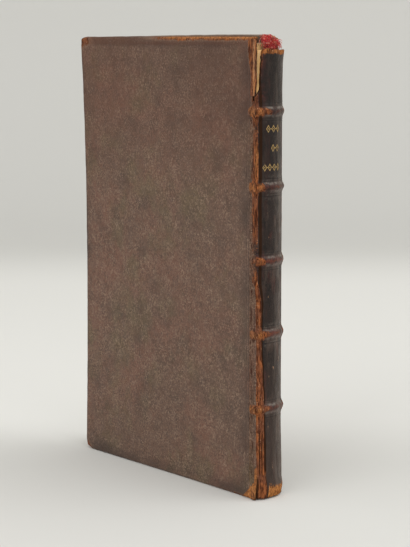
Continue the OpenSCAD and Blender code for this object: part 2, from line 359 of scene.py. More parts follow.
class Recipe:
    """One procedural material: its nodes are added by short calls and read object coordinates."""

    def __init__(self, name):
        self.material = bpy.data.materials.new(name)
        self.material.use_nodes = True
        self.tree = self.material.node_tree
        self.shader = self.tree.nodes["Principled BSDF"]
        self.place = self.add("ShaderNodeTexCoord").outputs["Object"]

    def add(self, kind, inputs=None, **settings):
        node = self.tree.nodes.new(kind)
        for key, value in settings.items():
            setattr(node, key, value)
        for socket, value in (inputs or {}).items():
            self.fill(node.inputs[socket], value)
        return node

    def fill(self, socket, value):
        """Gives a socket its value, or links it where the value is another node's output."""
        if isinstance(value, bpy.types.NodeSocket):
            self.tree.links.new(value, socket)
        else:
            socket.default_value = value

    def stretched(self, stretch):
        """Object coordinates scaled along X, Y and Z: a pattern runs long where the scale is small."""
        return self.add("ShaderNodeMapping", {"Vector": self.place, "Scale": stretch}).outputs[0]

    def noise(self, size, detail=3, roughness=0.55, stretch=None, distortion=0.0):
        """Noise whose lumps are about size metres wide."""
        place = self.stretched(stretch) if stretch else self.place
        return self.add("ShaderNodeTexNoise", {"Vector": place, "Scale": 1 / size, "Detail": detail,
                                               "Roughness": roughness, "Distortion": distortion}).outputs[0]

    def cells(self, size):
        """The distance to the nearest of scattered points that lie about size metres apart."""
        inputs = {"Vector": self.place, "Scale": 1 / size}
        return self.add("ShaderNodeTexVoronoi", inputs).outputs["Distance"]

    def step(self, value, low, high, start=0.0, end=1.0):
        """A smooth step of a value between low and high."""
        return self.add("ShaderNodeMapRange", {0: value, 1: low, 2: high, 3: start, 4: end},
                        interpolation_type="SMOOTHSTEP").outputs[0]

    def maths(self, operation, first, second, third=0.0):
        return self.add("ShaderNodeMath", {0: first, 1: second, 2: third}, operation=operation).outputs[0]

    def mix(self, amount, first, second):
        inputs = {0: amount, 6: self.rgba(first), 7: self.rgba(second)}
        return self.add("ShaderNodeMix", inputs, data_type="RGBA").outputs[2]

    @staticmethod
    def rgba(value):
        return value if isinstance(value, bpy.types.NodeSocket) else (*value, 1.0)

    def painted(self, name):
        return self.add("ShaderNodeAttribute", attribute_name=name).outputs["Fac"]

    def tinted(self, base, name, low, high, strength, colour):
        """Lays a colour over base by a painted value: none at low, and as strong as strength at high."""
        return self.mix(self.step(self.painted(name), low, high, 0.0, strength), base, colour)

    def patched(self, base, colour, size, low, high, strength=1.0, detail=4, roughness=0.55, stretch=None):
        """Lays a colour over base where noise of a size passes from low to high."""
        noise = self.noise(size, detail, roughness, stretch)
        return self.mix(self.step(noise, low, high, 0.0, strength), base, colour)

    def uneven(self, name, size, low, high, start, end, roughness=0.55, stretch=None):
        """A painted value, weakened by noise of a size to between start and end of its strength."""
        share = self.step(self.noise(size, 4, roughness, stretch), low, high, start, end)
        return self.maths("MULTIPLY", self.painted(name), share)

    def finish(self, base, roughness, height, depth, specular=0.5):
        """Fills the shader's sockets; height is a relief that is depth metres deep."""
        self.fill(self.shader.inputs["Base Color"], base)
        self.fill(self.shader.inputs["Roughness"], roughness)
        self.fill(self.shader.inputs["Specular IOR Level"], specular)
        bump = self.add("ShaderNodeBump", {"Height": height, "Strength": 1.0, "Distance": depth})
        self.tree.links.new(bump.outputs[0], self.shader.inputs["Normal"])
        return self.material

    def finish_leather(self, base, gone, relief, polish, specular):
        """Finishes a leather whose face is sunk and dull where it is gone."""
        rough = self.maths("MAXIMUM", polish, self.maths("MULTIPLY", gone, 0.85))
        return self.finish(base, rough, self.maths("MULTIPLY_ADD", gone, -0.8, relief), 0.07 * MM, specular)


def worn_mask(recipe):
    """Where the leather's face is gone: the painted wear, broken up by noise of two sizes."""
    breakup = recipe.maths("ADD", recipe.noise(0.5 * MM, 4), recipe.noise(2.4 * MM, 3))
    breakup = recipe.maths("MULTIPLY_ADD", breakup, 0.75, -0.75)
    wear = recipe.maths("ADD", recipe.painted("wear"), breakup)
    return recipe.step(wear, 0.38, 0.60)


def flesh(recipe):
    """The colour of abraded leather: orange tan with brown soiling, dark cracks and dry pale fibres."""
    book = colours()
    tan = recipe.patched(book.worn_deep, book.worn, 0.9 * MM, 0.36, 0.60, stretch=(1.0, 1.0, 0.22))
    tan = recipe.patched(tan, book.worn_brown, 5 * MM, 0.42, 0.62, 0.8)
    tan = recipe.mix(recipe.uneven("fresh", 1.2 * MM, 0.38, 0.58, 0.35, 1.0), tan, book.worn_fresh)
    tan = recipe.patched(tan, book.worn_pale, 0.5 * MM, 0.59, 0.69, 0.75, 4, 0.7, (1.0, 1.0, 0.3))
    crack = recipe.noise(0.55 * MM, 5, 0.7, (1.2, 1.2, 0.2), distortion=0.4)
    return recipe.mix(recipe.step(crack, 0.40, 0.49), book.worn_deep, tan)


def calf(recipe):
    """The covers' brown: cloudy patches, then a fine scatter of pale and dark specks."""
    book = colours()
    base = recipe.patched(book.calf, book.calf_red, 24 * MM, 0.42, 0.66, 0.6, 3)
    base = recipe.patched(base, book.calf_olive, 15 * MM, 0.48, 0.70, 0.9, 3, 0.6, (1.0, 1.0, 0.8))
    base = recipe.patched(base, book.calf_dark, 9 * MM, 0.46, 0.72, 0.5, 5, 0.6)
    base = recipe.patched(base, book.calf_dark, 1.8 * MM, 0.46, 0.70, 0.45, 4, 0.7)
    rubbed = recipe.step(recipe.noise(7 * MM, 4, 0.6), 0.35, 0.65, 0.25, 0.85)
    pale = recipe.step(recipe.noise(0.62 * MM, 4, 0.75, (1.0, 1.0, 0.85)), 0.46, 0.68)
    base = recipe.mix(recipe.maths("MULTIPLY", pale, rubbed), base, book.calf_light)
    base = recipe.patched(base, book.calf_dark, 0.55 * MM, 0.50, 0.68, 0.8, 4, 0.75, (1.1, 1.0, 0.9))
    return recipe.patched(base, book.worn_pale, 0.8 * MM, 0.71, 0.76, 0.7, 2, 0.8)


def cover_leather_material():
    """Speckled brown calf with tooled lines and worn edges, and a painted highlight along the front cover's
    head edge.
    """
    book = colours()
    r = Recipe("speckled_calf")
    base = r.tinted(calf(r), "shade", 0.0, 1.0, 0.75, book.calf_dark)
    base = r.mix(r.painted("warm"), base, book.calf_warm)
    base = r.tinted(base, "tooling", 0.2, 1.0, 0.75, book.spine_dark)
    rubbed = r.step(r.painted("wear"), 0.12, 0.5, 0.0, 0.2)
    base = r.mix(r.maths("MULTIPLY", rubbed, r.noise(1.4 * MM, 4)), base, book.worn_pale)
    gone = worn_mask(r)
    base = r.mix(gone, base, flesh(r))
    # Painted highlight: a pale grey line along the front cover's head edge.
    base = r.mix(r.uneven("head_highlight", 4 * MM, 0.3, 0.6, 0.3, 0.8), base, book.head_highlight)
    grain = r.maths("ADD", r.cells(0.55 * MM), r.noise(0.3 * MM, 3))
    polish = r.step(r.noise(3 * MM, 4), 0.3, 0.7, 0.46, 0.66)
    return r.finish_leather(base, gone, grain, polish, r.step(gone, 0.0, 1.0, 0.35, 0.08))


def spine_leather_material():
    """Darkened calf, reddish on the bands, brown beside the back joint and worn to tan in between, with
    painted shade in its creases and towards its head, and painted highlights and sheen.
    """
    book = colours()
    r = Recipe("darkened_calf")
    along = (1.0, 1.0, 0.3)
    base = r.patched(book.spine, book.spine_light, 3.2 * MM, 0.46, 0.62, 0.75, 4, 0.6, along)
    base = r.patched(base, book.spine_dark, 2 * MM, 0.44, 0.64, 1.0, 4, 0.7, along)
    base = r.patched(base, book.spine_red, 2.6 * MM, 0.52, 0.70, 0.35, 4, 0.6, (1.3, 1.2, 0.25))
    base = r.patched(base, book.spine_light, 0.5 * MM, 0.56, 0.68, 0.65, 3, 0.7)
    base = r.patched(base, book.worn_pale, 1.1 * MM, 0.69, 0.75, 0.8, 2, 0.8, along)
    base = r.mix(r.uneven("rub", 1.3 * MM, 0.36, 0.60, 0.15, 1.0), base, book.spine_red)
    # Painted shade darkens the spine towards its head, and painted light makes it paler towards its tail.
    height = r.add("ShaderNodeSeparateXYZ", {0: r.place}).outputs[2]
    base = r.mix(r.step(height, 90 * MM, 130 * MM, 0.0, 0.55), base, book.spine_dark)
    base = r.mix(r.step(height, 70 * MM, 0.0, 0.0, 0.55), base, book.spine_light)
    # Painted sheen: the spine is made paler in streaks past its middle.
    crest = r.uneven("crest", 1.5 * MM, 0.40, 0.62, 0.12, 0.62, 0.6, (1.3, 1.2, 0.14))
    base = r.mix(crest, base, book.spine_sheen)
    # Painted highlight: pale grey on the band edges and on the ridges beside the tooled lines.
    base = r.mix(r.uneven("polish", 1.6 * MM, 0.38, 0.62, 0.1, 0.9, 0.6), base, book.band_highlight)
    base = r.tinted(base, "tooling", 0.2, 1.0, 0.8, book.spine_dark)
    base = r.mix(r.step(r.painted("brown"), 0.3, 0.7), base, calf(r))
    gone = worn_mask(r)
    base = r.mix(gone, base, flesh(r))
    # Painted shade: the creases, folds and gaps are darkened to dark brown, and their shine is lowered.
    shaded_creases = r.step(r.painted("groove"), 0.25, 0.8, 0.0, 0.92)
    base = r.mix(shaded_creases, base, book.crease_shade)
    grain = r.maths("ADD", r.cells(0.5 * MM), r.noise(0.25 * MM, 3))
    creases = r.noise(1.1 * MM, 5, 0.6, (1.0, 1.0, 0.25), distortion=0.4)
    polish = r.step(r.noise(2.2 * MM, 4), 0.3, 0.7, 0.34, 0.56)
    dull = r.step(r.maths("MAXIMUM", gone, shaded_creases), 0.0, 0.9, 0.25, 0.03)
    return r.finish_leather(base, gone, r.maths("MULTIPLY_ADD", creases, 1.5, grain), polish, dull)


def joint_leather_material():
    """Leather over the joint: the covers' brown, scuffed pale on its ridges and cracked lengthwise."""
    book = colours()
    r = Recipe("joint_calf")
    along = (1.0, 1.0, 0.12)
    cracks = r.step(r.noise(0.55 * MM, 4, 0.6, along, distortion=0.3), 0.38, 0.46)
    base = r.mix(worn_mask(r), calf(r), flesh(r))
    base = r.patched(base, book.worn_pale, 0.8 * MM, 0.65, 0.75, 0.4, 4, 0.7, (1.0, 1.0, 0.3))
    base = r.mix(r.uneven("pale", 0.7 * MM, 0.4, 0.6, 0.1, 0.7, stretch=along), base, book.worn_pale)
    base = r.mix(cracks, book.worn_deep, base)
    height = r.maths("MULTIPLY_ADD", cracks, 1.6, r.noise(0.3 * MM, 3))
    return r.finish(base, 0.78, height, 0.12 * MM, 0.15)


def paper_material(name, browned=True):
    """Aged laid paper: chain lines, fibres, foxing, and margins browned by the turned-in leather."""
    book = colours()
    r = Recipe(name)
    tint = r.patched(book.paper, book.paper_brown, 26 * MM, 0.35, 0.70, 0.22, 5, 0.65)
    tint = r.patched(tint, book.paper_brown, 0.8 * MM, 0.50, 0.75, 0.25, 4, 0.7)
    tint = r.patched(tint, book.paper_brown, 2.6 * MM, 0.70, 0.80, 0.55, 2, 0.4)
    if browned:
        ragged = r.maths("MULTIPLY_ADD", r.noise(5 * MM, 4), 0.5, -0.25)
        stain = r.maths("ADD", r.painted("margin"), ragged)
        tint = r.mix(r.step(stain, 0.25, 0.95, 0.0, 0.85), tint, book.paper_brown)
    laid = r.add("ShaderNodeTexWave", {"Vector": r.place, "Scale": 1 / (6.5 * MM), "Distortion": 0.4},
                 bands_direction="Z").outputs["Fac"]
    height = r.maths("MULTIPLY_ADD", laid, 0.4, r.noise(0.4 * MM, 4))
    return r.finish(tint, 0.85, height, 0.03 * MM, 0.25)


def leaf_edge_material():
    """Edges and backs of the leaves: fine lines along each leaf, and glue on the backs of the folds."""
    book = colours()
    r = Recipe("leaf_edges")
    lines = r.noise(0.16 * MM, 3, 0.7, (0.02, 1.0, 0.02))
    base = r.mix(r.step(lines, 0.40, 0.66, 0.0, 0.6), book.paper, book.paper_brown)
    base = r.patched(base, book.paper_brown, 7 * MM, 0.48, 0.74, 0.5, 4, 0.6)
    base = r.mix(r.maths("MULTIPLY", r.painted("cream"), 0.8), base, book.parchment)
    base = r.mix(r.maths("MULTIPLY", r.painted("glue"), 0.85), base, book.worn_deep)
    return r.finish(base, 0.9, lines, 0.05 * MM, 0.2)


def board_material():
    """Pasteboard: thin layers pressed together, seen at its edge."""
    book = colours()
    r = Recipe("layered_board")
    layers = r.noise(0.35 * MM, 4, 0.7, (0.2, 1.0, 0.05))
    base = r.mix(r.step(layers, 0.38, 0.64), book.worn_deep, book.board)
    base = r.patched(base, book.worn_pale, 1.2 * MM, 0.55, 0.7, 0.6)
    return r.finish(base, 0.9, layers, 0.12 * MM, 0.2)


def lining_material():
    """Parchment and glue on the backs of the leaves; the dark glue also serves as painted shade in the
    split.
    """
    book = colours()
    r = Recipe("spine_parchment")
    fibres = r.noise(0.5 * MM, 4, 0.7, (1.0, 1.0, 0.1))
    bare = r.mix(r.step(fibres, 0.46, 0.74), book.parchment, book.paper)
    # The dark glue doubles as painted shade, where the split beside the joint lies in shadow.
    glued = r.patched(book.worn_deep, book.calf_dark, 1.6 * MM, 0.45, 0.65, 1.0, 4, 0.6, (1.0, 1.0, 0.4))
    ragged = r.maths("MULTIPLY_ADD", r.noise(0.7 * MM, 3, stretch=(1.0, 1.0, 0.4)), 0.6, -0.3)
    base = r.mix(r.step(r.maths("ADD", r.painted("bare"), ragged), 0.3, 0.7), glued, bare)
    return r.finish(base, 0.7, fibres, 0.08 * MM, 0.3)


def silk_material():
    """Red silk with patches of painted shadow and painted highlight, and tan in places."""
    book = colours()
    r = Recipe("red_silk_thread")
    # Painted shadow and painted highlights in patches, then tan patches.
    base = r.patched(book.silk, book.silk_shadow, 1.1 * MM, 0.52, 0.64, 0.85, 3)
    base = r.patched(base, book.silk_highlight, 0.9 * MM, 0.53, 0.62, 0.95, 3, 0.6, (1.1, 1.0, 1.3))
    base = r.patched(base, book.worn_fresh, 1.3 * MM, 0.56, 0.66, 0.85, 3, stretch=(1.2, 0.9, 1.1))
    r.shader.inputs["Sheen Weight"].default_value = 0.2
    return r.finish(base, 0.55, r.noise(0.09 * MM, 2), 0.04 * MM, 0.4)


def cord_material():
    """Hemp cord with the slant of its twist."""
    book = colours()
    r = Recipe("twisted_hemp")
    twist = r.add("ShaderNodeTexWave", {"Vector": r.place, "Scale": 1 / (7 * MM), "Distortion": 1.2},
                  bands_direction="DIAGONAL").outputs["Fac"]
    base = r.mix(r.step(twist, 0.2, 0.8, 0.0, 0.6), book.cord, book.worn_deep)
    return r.finish(base, 0.9, twist, 0.1 * MM, 0.2)


def gold_material():
    """Gold leaf rubbed through to the dark leather in places."""
    book = colours()
    r = Recipe("rubbed_gold")
    rubbed = r.step(r.noise(0.45 * MM, 4, 0.7), 0.50, 0.64)
    base = r.mix(rubbed, book.gold, book.spine_light)
    shine = r.maths("MULTIPLY_ADD", rubbed, -0.55, 0.55)
    r.fill(r.shader.inputs["Metallic"], shine)
    return r.finish(base, 0.42, r.noise(0.2 * MM, 3), 0.02 * MM, 0.5)


def stage_material():
    """The floor round the book, with a paler band behind it as painted light, and a greyer backdrop as
    painted shade.
    """
    r = Recipe("pale_sweep")
    stage = bpy.context.scene.book_stage
    inputs = {0: r.place, 1: view_axes()[0]}
    distance = r.add("ShaderNodeVectorMath", inputs, operation="DOT_PRODUCT").outputs["Value"]
    # Painted light and shade on the sweep: paler behind the book, greyer up the backdrop.
    base = r.mix(r.step(distance, 0.0, 0.09), stage.floor, stage.lit)
    base = r.mix(r.step(distance, 0.44, 0.72), base, stage.shaded_backdrop)
    return r.finish(base, 1.0, distance, 0.0, 0.0)


# Shapes shared by the covers

def curl(side, x, z):
    """How far a cover has warped outwards: none at the joint, most at the fore-edge corners."""
    across = min(1.0, max(0.0, (JOINT_X - x) / COVER_W))
    along = 2 * z / HEIGHTS[side] - 1
    if side == FRONT:
        return sizes().curl_front * (across * along) ** 2
    corner = sizes().curl_head if along > 0 else sizes().curl_tail
    return corner * (across * along) ** 2


def blunting(side, co):
    """Shift of a knocked corner towards the middle of its cover, and the front cover's dropped corner."""
    shift = Vector()
    for corner_z, inwards, amount in ((0.0, 0.8, 1.15), (HEIGHTS[side], -0.8, 0.5)):
        knocked = near(hypot(co.x - FORE_X, co.z - corner_z), 4.5 * MM) * amount * MM
        shift += Vector((0.6, 0, inwards)) * knocked
    if side == FRONT:
        upper = smooth(HEIGHTS[side] - 12 * MM, HEIGHTS[side], co.z)
        dropped = 0.75 * smooth(20 * MM, FORE_X, co.x) + 1.0 * near(JOINT_X - co.x, 3.5 * MM)
        shift.z -= upper * MM * dropped
    return shift


def band_swell(z, width):
    """1 on the middle of a raised band, 0 away from the bands."""
    return max(near(z - band, width) for band in BAND_Z)


def band_lift(z):
    """How far the leather over the nearest cord has been pushed up past the cord's middle."""
    return max(lift * near(z - band, 9 * MM) for band, lift in zip(BAND_Z, BAND_LIFTS))


def lacing_knob(from_joint, z, reach):
    """1 on the middle of the round lump where a cord passes the joint, 0 at its reach."""
    return max(near(hypot(from_joint, z - band), reach) for band in BAND_Z)


def lacing_bump(side, x, z):
    """Rise of the leather over a cord where it is laced into the board beside the joint."""
    share = 0.32 if side == BACK else 0.25
    return share * MM * lacing_knob(JOINT_X - x, z - band_lift(z), 4.2 * MM)


def fillet_lines(side):
    """Places of the tooled lines: along X by the joint and the fore-edge, along Z by head and tail."""
    joint = [JOINT_X - depth * MM for depth in (0.3, 1.5, 2.6)]
    fore = [FORE_X + depth * MM for depth in (2.8, 3.5)]
    ends = [depth * MM for depth in (2.8, 3.5)]
    return joint + fore, ends + [HEIGHTS[side] - depth for depth in ends]


def cut_cover(bm, side):
    """Cuts a cover's leather finely at its edges, over the cords and at the tooled lines."""
    border = 4 * MM
    xs = edge_and_field(FORE_X, JOINT_X, 0.5 * MM, 3 * MM, border)
    zs = edge_and_field(0.0, HEIGHTS[side], 0.5 * MM, 3 * MM, border)
    for band in BAND_Z:
        zs += [band + offset * MM for offset in (-2.4, -1.6, -0.8, 0.0, 0.8, 1.6, 2.4, 3.2)]
    half = sizes().fillet / 2
    across, along = fillet_lines(side)
    xs += [x + shift for x in across for shift in (-half, 0, half)]
    zs += [z + shift for z in along for shift in (-half, 0, half)]
    cut(bm, (1, 0, 0), sorted(xs))
    cut(bm, (0, 0, 1), sorted(zs))


def in_tooling(side, co):
    """1 on the tooled lines by the joint and less on the others, up to the corners where they meet."""
    across, along = fillet_lines(side)
    width = sizes().fillet / 2
    inside_x = min(across) - width < co.x < max(across) + width
    inside_z = min(along) - width < co.z < max(along) + width
    on_x = any(abs(co.x - x) < 0.2 * width for x in across) and inside_z
    on_z = any(abs(co.z - z) < 0.2 * width for z in along) and inside_x
    beside_joint = on_x and JOINT_X - co.x < 5 * MM
    return 1.0 if beside_joint else 0.35 if on_x or on_z else 0.0


def in_flap(from_joint, from_tail):
    """1 on the bare flap at the tail of a cover's joint, which ends in a slanting edge."""
    reach, softness = 4.4 * MM, 0.6 * MM
    edge = reach - from_tail
    return smooth(edge + softness, edge - softness, from_joint)


def cover_wear(side, co):
    """Wear of a cover's leather: edges, corners, the joint's torn head, knobs and the tail flap."""
    height = HEIGHTS[side]
    patch = 0.5 + 0.5 * cloud(co, 14 * MM, 2.0)
    from_head, from_tail = height - co.z, co.z
    from_fore, from_joint = co.x - FORE_X, JOINT_X - co.x
    broken = 0.5 + 0.5 * cloud(co, 4 * MM, 2.5)
    bared = smooth(-22 * MM, 5 * MM, co.x) * (0.3 + 0.4 * patch + 0.6 * broken)
    head = near(from_head, 2.8 * MM) * (0.1 + 0.95 * bared)
    tail = near(from_tail, 1.8 * MM) * (0.2 + 0.8 * patch * smooth(10 * MM, 35 * MM, co.x))
    fore = near(from_fore, 1.2 * MM) * (0.25 + 0.3 * patch)
    corner_head = 0.95 * near(hypot(from_fore * 0.42, from_head - 1.8 * MM), 4.8 * MM)
    corner_tail = 0.9 * near(hypot(from_fore * 0.7, from_tail - 0.8 * MM), 4.5 * MM)
    top = smooth(height - 15 * MM, height - 7 * MM, co.z)
    joint = near(from_joint, (0.9 + 2.9 * top) * MM) * (0.6 + 0.5 * top)
    flap = 1.25 * in_flap(from_joint, from_tail)
    knobs = lacing_knob(from_joint, co.z - band_lift(co.z), 3.4 * MM)
    knobs *= 0.15 + 0.75 * smooth(95 * MM, 110 * MM, co.z)
    if side == FRONT:
        flap, head, knobs = flap * 0.4, head * 0.3, knobs * 0.7
    return max(head, tail, fore, corner_head, corner_tail, joint, flap, knobs)


def cover_fresh(side, co):
    """1 where the bare leather is clean tan: on the tail flap and along the head near the joint."""
    flap = in_flap(JOINT_X - co.x, co.z) if side == BACK else 0.0
    head = 0.9 * near(HEIGHTS[side] - co.z, 1.4 * MM) * smooth(-10 * MM, 10 * MM, co.x)
    return max(flap, head)


def cover_head_highlight(side, co):
    """1 on the painted highlight along the head edge of the front cover, which stands above the back one.
    """
    if side == BACK:
        return 0.0
    return near(HEIGHTS[side] - co.z, 0.7 * MM) * smooth(-35 * MM, -15 * MM, co.x)


def cover_warm(side, co):
    """How reddish the brown is: more towards the head, most along the worn head edge."""
    from_head = HEIGHTS[side] - co.z
    upper = smooth(95 * MM, 150 * MM, co.z) * (0.30 - 0.14 * near(co.x + 5 * MM, 30 * MM))
    line = 0.55 * near(from_head - 2.4 * MM, 1.8 * MM)
    fore_end = 0.55 * near(from_head, 8 * MM) * smooth(0.0, -22 * MM, co.x)
    return 0.06 + max(upper, line, fore_end)


def cover_shade(side, co):
    """Darker leather beside the joint, along the fore-edge and tail, and towards the head."""
    joint = 0.5 * near(JOINT_X - co.x - 4 * MM, 5 * MM)
    tail = 0.6 * near(co.z - 1.5 * MM, 5 * MM)
    fore = 0.8 * near(co.x - FORE_X, 2.6 * MM)
    from_head = HEIGHTS[side] - co.z
    head = 0.5 * near(from_head - 2.9 * MM, 1.8 * MM)
    head += 0.5 * near(from_head, 4 * MM) * smooth(0.0, -25 * MM, co.x)
    upper = 0.30 * smooth(105 * MM, 160 * MM, co.z) * smooth(-30 * MM, 40 * MM, co.x)
    return (max(joint, tail, fore, head) + 0.16 + upper) * (0.75 + 0.9 * cloud(co, 13 * MM, 5.0))


def shape_cover_leather(bm, side):
    """Curls the leather with its board and adds dents, tooled lines and the bumps over the cords."""
    edge_band = 0.9 * MM
    for vert in bm.verts:
        co = vert.co.copy()
        outer = 1 - smooth(0, 0.7 * MM, abs(co.y - side * HALF_T))
        dent = 0.14 * cloud(co, 17 * MM, 1.0) + 0.06 * cloud(co, 4 * MM, 3.0)
        dent += 0.025 * cloud(co, 1.3 * MM, 4.0)
        rise = outer * (dent * MM - 0.1 * MM * in_tooling(side, co) + lacing_bump(side, co.x, co.z))
        vert.co.y += side * (curl(side, co.x, co.z) + rise)
        vert.co += blunting(side, co)
        ragged = 0.22 * MM * cloud(co, 6 * MM, 7.0) + 0.12 * MM * cloud(co, 1.5 * MM, 8.0)
        if HEIGHTS[side] - co.z < edge_band:
            vert.co.z += min(0.0, ragged)
        if co.x - FORE_X < edge_band:
            vert.co.x += abs(ragged)
        if side == BACK:
            flare = near(hypot(JOINT_X - co.x, co.z), 9 * MM)
            vert.co.y -= 0.5 * MM * flare * (0.4 + 0.6 * outer)


def cover_leather(side):
    """One cover's leather, cut from its solid and given its real surface."""
    name = SIDE_NAMES[side]
    bm = copy_of(f"{name}_leather")
    cut_cover(bm, side)
    flat = [v.co.copy() for v in bm.verts]
    shape_cover_leather(bm, side)
    piece = object_from(bm, f"{name}_cover_calf", "speckled_calf", COVER_BODIES[side])
    # One of these values is the painted highlight along the front cover's head edge.
    for label, rule in (("wear", cover_wear), ("shade", cover_shade), ("tooling", in_tooling),
                        ("fresh", cover_fresh), ("head_highlight", cover_head_highlight), ("warm", cover_warm)):
        paint(piece, label, lambda place: rule(side, place), flat)
    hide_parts(f"{name}_leather")


def inner_piece(side, node, name, finish, margin=None):
    """A cover's board or pasted paper, curled with the leather."""
    fine, coarse = 1 * MM, 4 * MM
    bm = copy_of(node)
    low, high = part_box(node)
    cut(bm, (1, 0, 0), edge_and_field(low.x, high.x, fine, coarse, coarse))
    cut(bm, (0, 0, 1), edge_and_field(low.z, high.z, fine, coarse, coarse))
    for vert in bm.verts:
        co = vert.co.copy()
        vert.co.y += side * curl(side, co.x, co.z)
        vert.co += blunting(side, co)
    piece = object_from(bm, name, finish, COVER_BODIES[side], False)
    if margin:
        paint(piece, "margin", lambda co: near(min(co.x - low.x, co.z - low.z, high.z - co.z), margin))
    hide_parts(node)


def torn_lip(bm, low, high, reach, lift, seed):
    """A torn edge of leather that hangs on the back cover's joint edge between two heights."""
    columns, row_height = 6, 0.35 * MM
    rows = round((high - low) / row_height)
    grid = bmesh.ops.create_grid(bm, x_segments=columns, y_segments=rows, size=0.5)["verts"]
    for vert in grid:
        out, up = vert.co.x + 0.5, vert.co.y + 0.5
        z = low + up * (high - low)
        ragged = 0.25 * cloud((0, 0, z), 1.6 * MM, seed) + 0.15 * cloud((0, 0, z), 0.6 * MM, seed)
        x = JOINT_X - sizes().overlap + out * (reach(z) * (1 + ragged) + sizes().overlap)
        wrinkle = 0.10 * MM * cloud((x, 0, z * 0.4), 0.7 * MM, seed + 1)
        vert.co = Vector((x, -HALF_T - lift(z) * out - LEATHER_GAP - wrinkle * out, z))


# Operators, one for each piece or group of like pieces

class BOOK_OT_materials(Operator):
    """Make the procedural finishes of the book"""
    bl_idname = "book.materials"
    bl_label = "Finishes"

    def execute(self, context):
        cover_leather_material()
        spine_leather_material()
        joint_leather_material()
        paper_material("pasted_endpaper")
        paper_material("plain_leaf", browned=False)
        leaf_edge_material()
        board_material()
        lining_material()
        silk_material()
        cord_material()
        gold_material()
        return {"FINISHED"}


class BOOK_OT_covers(Operator):
    """Make both covers: leather, board and pasted paper"""
    bl_idname = "book.covers"
    bl_label = "Covers"

    def execute(self, context):
        for side in (BACK, FRONT):
            name = SIDE_NAMES[side]
            cover_leather(side)
            inner_piece(side, f"{name}_board", f"{name}_pasteboard", "layered_board")
            inner_piece(side, f"{name}_pastedown", f"{name}_pasted_paper", "pasted_endpaper",
                        sizes().brown_margin)
        return {"FINISHED"}


def spine_swell(z):
    """How far the leather stands past its solid: most between the bands and at head and tail."""
    low = smooth(150 * MM, 30 * MM, z)
    foot = smooth(30 * MM, 8 * MM, z)
    head = smooth(148 * MM, 165 * MM, z) + smooth(158 * MM, 163 * MM, z)
    return (0.04 + 0.42 * low + 0.42 * foot + 0.25 * head
            + (0.38 - 0.34 * low) * (1 - band_swell(z, 3.4 * MM))) * MM


def strip_middle(z):
    """Angle of the bare strip beside the back joint; it wanders away from the joint towards the tail."""
    wander = 0.8 * cloud((0, 0, z), 13 * MM, 22.0) + 0.5 * cloud((0, 0, z), 4 * MM, 23.0)
    upper = 6.0 * smooth(72 * MM, 82 * MM, z) + 0.9 * smooth(108 * MM, 118 * MM, z)
    lower = 2.0 * smooth(10 * MM, 40 * MM, z) + 2.6 * smooth(35 * MM, 60 * MM, z)
    return -radians(23.8 + lower + upper + wander)


def strip_strength(z):
    """How bare the strip is at a height: it keeps brown leather by the middle band and below the split."""
    kept = 0.62 * near(z - 89 * MM, 19 * MM) + 0.50 * near(z - 134 * MM, 11 * MM)
    return 1.05 - kept - 0.45 * near(z - 147 * MM, 6 * MM)


def strip_half(z):
    """Half the angle that the bare strip covers."""
    wander = 0.9 * cloud((0, 0, z), 9 * MM, 24.0) + 0.8 * cloud((0, 0, z), 2.5 * MM, 25.0)
    lower = 2.6 * smooth(62 * MM, 30 * MM, z) + 1.4 * smooth(82 * MM, 70 * MM, z)
    return radians(3.9 + lower + 0.8 * smooth(108 * MM, 118 * MM, z) + wander)


def split_share(z):
    """0 at the foot of the split at the back joint's head and 1 near the head."""
    return smooth(HEIGHTS[BACK] - sizes().split_head - 4 * MM, HEIGHTS[BACK] - 8 * MM, z)


def spine_relief(angle, z):
    """Height of the leather's face over its solid at a place on the spine."""
    point = on_spine(angle, z)
    dent = 0.10 * cloud(point, 7 * MM, 11.0) + 0.05 * cloud(point, 2.2 * MM, 12.0)
    crown = 0.16 * cloud(point, 3 * MM, 13.0) * band_swell(z, 2.4 * MM)
    tooled = 0.14 * spine_tooling(angle, z)
    groove = 0.22 * spine_groove_and_shade(angle, z)
    flap = 0.45 * joint_flap(angle, z)
    fuller = 0.3 * band_swell(z, 5 * MM) * smooth(95 * MM, 112 * MM, z)
    knob = 0.55 * near(angle + radians(33), radians(14)) * band_swell(z, 3.2 * MM)
    return spine_swell(z) + MM * (dent + crown + knob + flap + fuller - tooled - groove)


def spine_tooling(angle, z):
    """1 on the tooled lines above and below each band."""
    return 1.0 if any(abs(abs(z - band) - LINE_FROM_BAND) < 0.02 * MM for band in BAND_Z) else 0.0


def spine_painted_highlight(angle, z):
    """1 on the painted highlights: the ridges beside each tooled line and the upper and lower edges of each
    band.
    """
    offsets = [abs(z - band) for band in BAND_Z]
    ridges = max(max(near(offset - 2.65 * MM, 0.45 * MM), near(offset - 3.65 * MM, 0.5 * MM))
                 for offset in offsets)
    upper = max(near(z - band - 1.4 * MM, 0.8 * MM) for band in BAND_Z)
    lower = max(near(z - band + 1.5 * MM, 0.9 * MM) for band in BAND_Z)
    return max(0.4 * ridges, upper, 0.6 * lower) * smooth(-radians(26), -radians(12), angle)


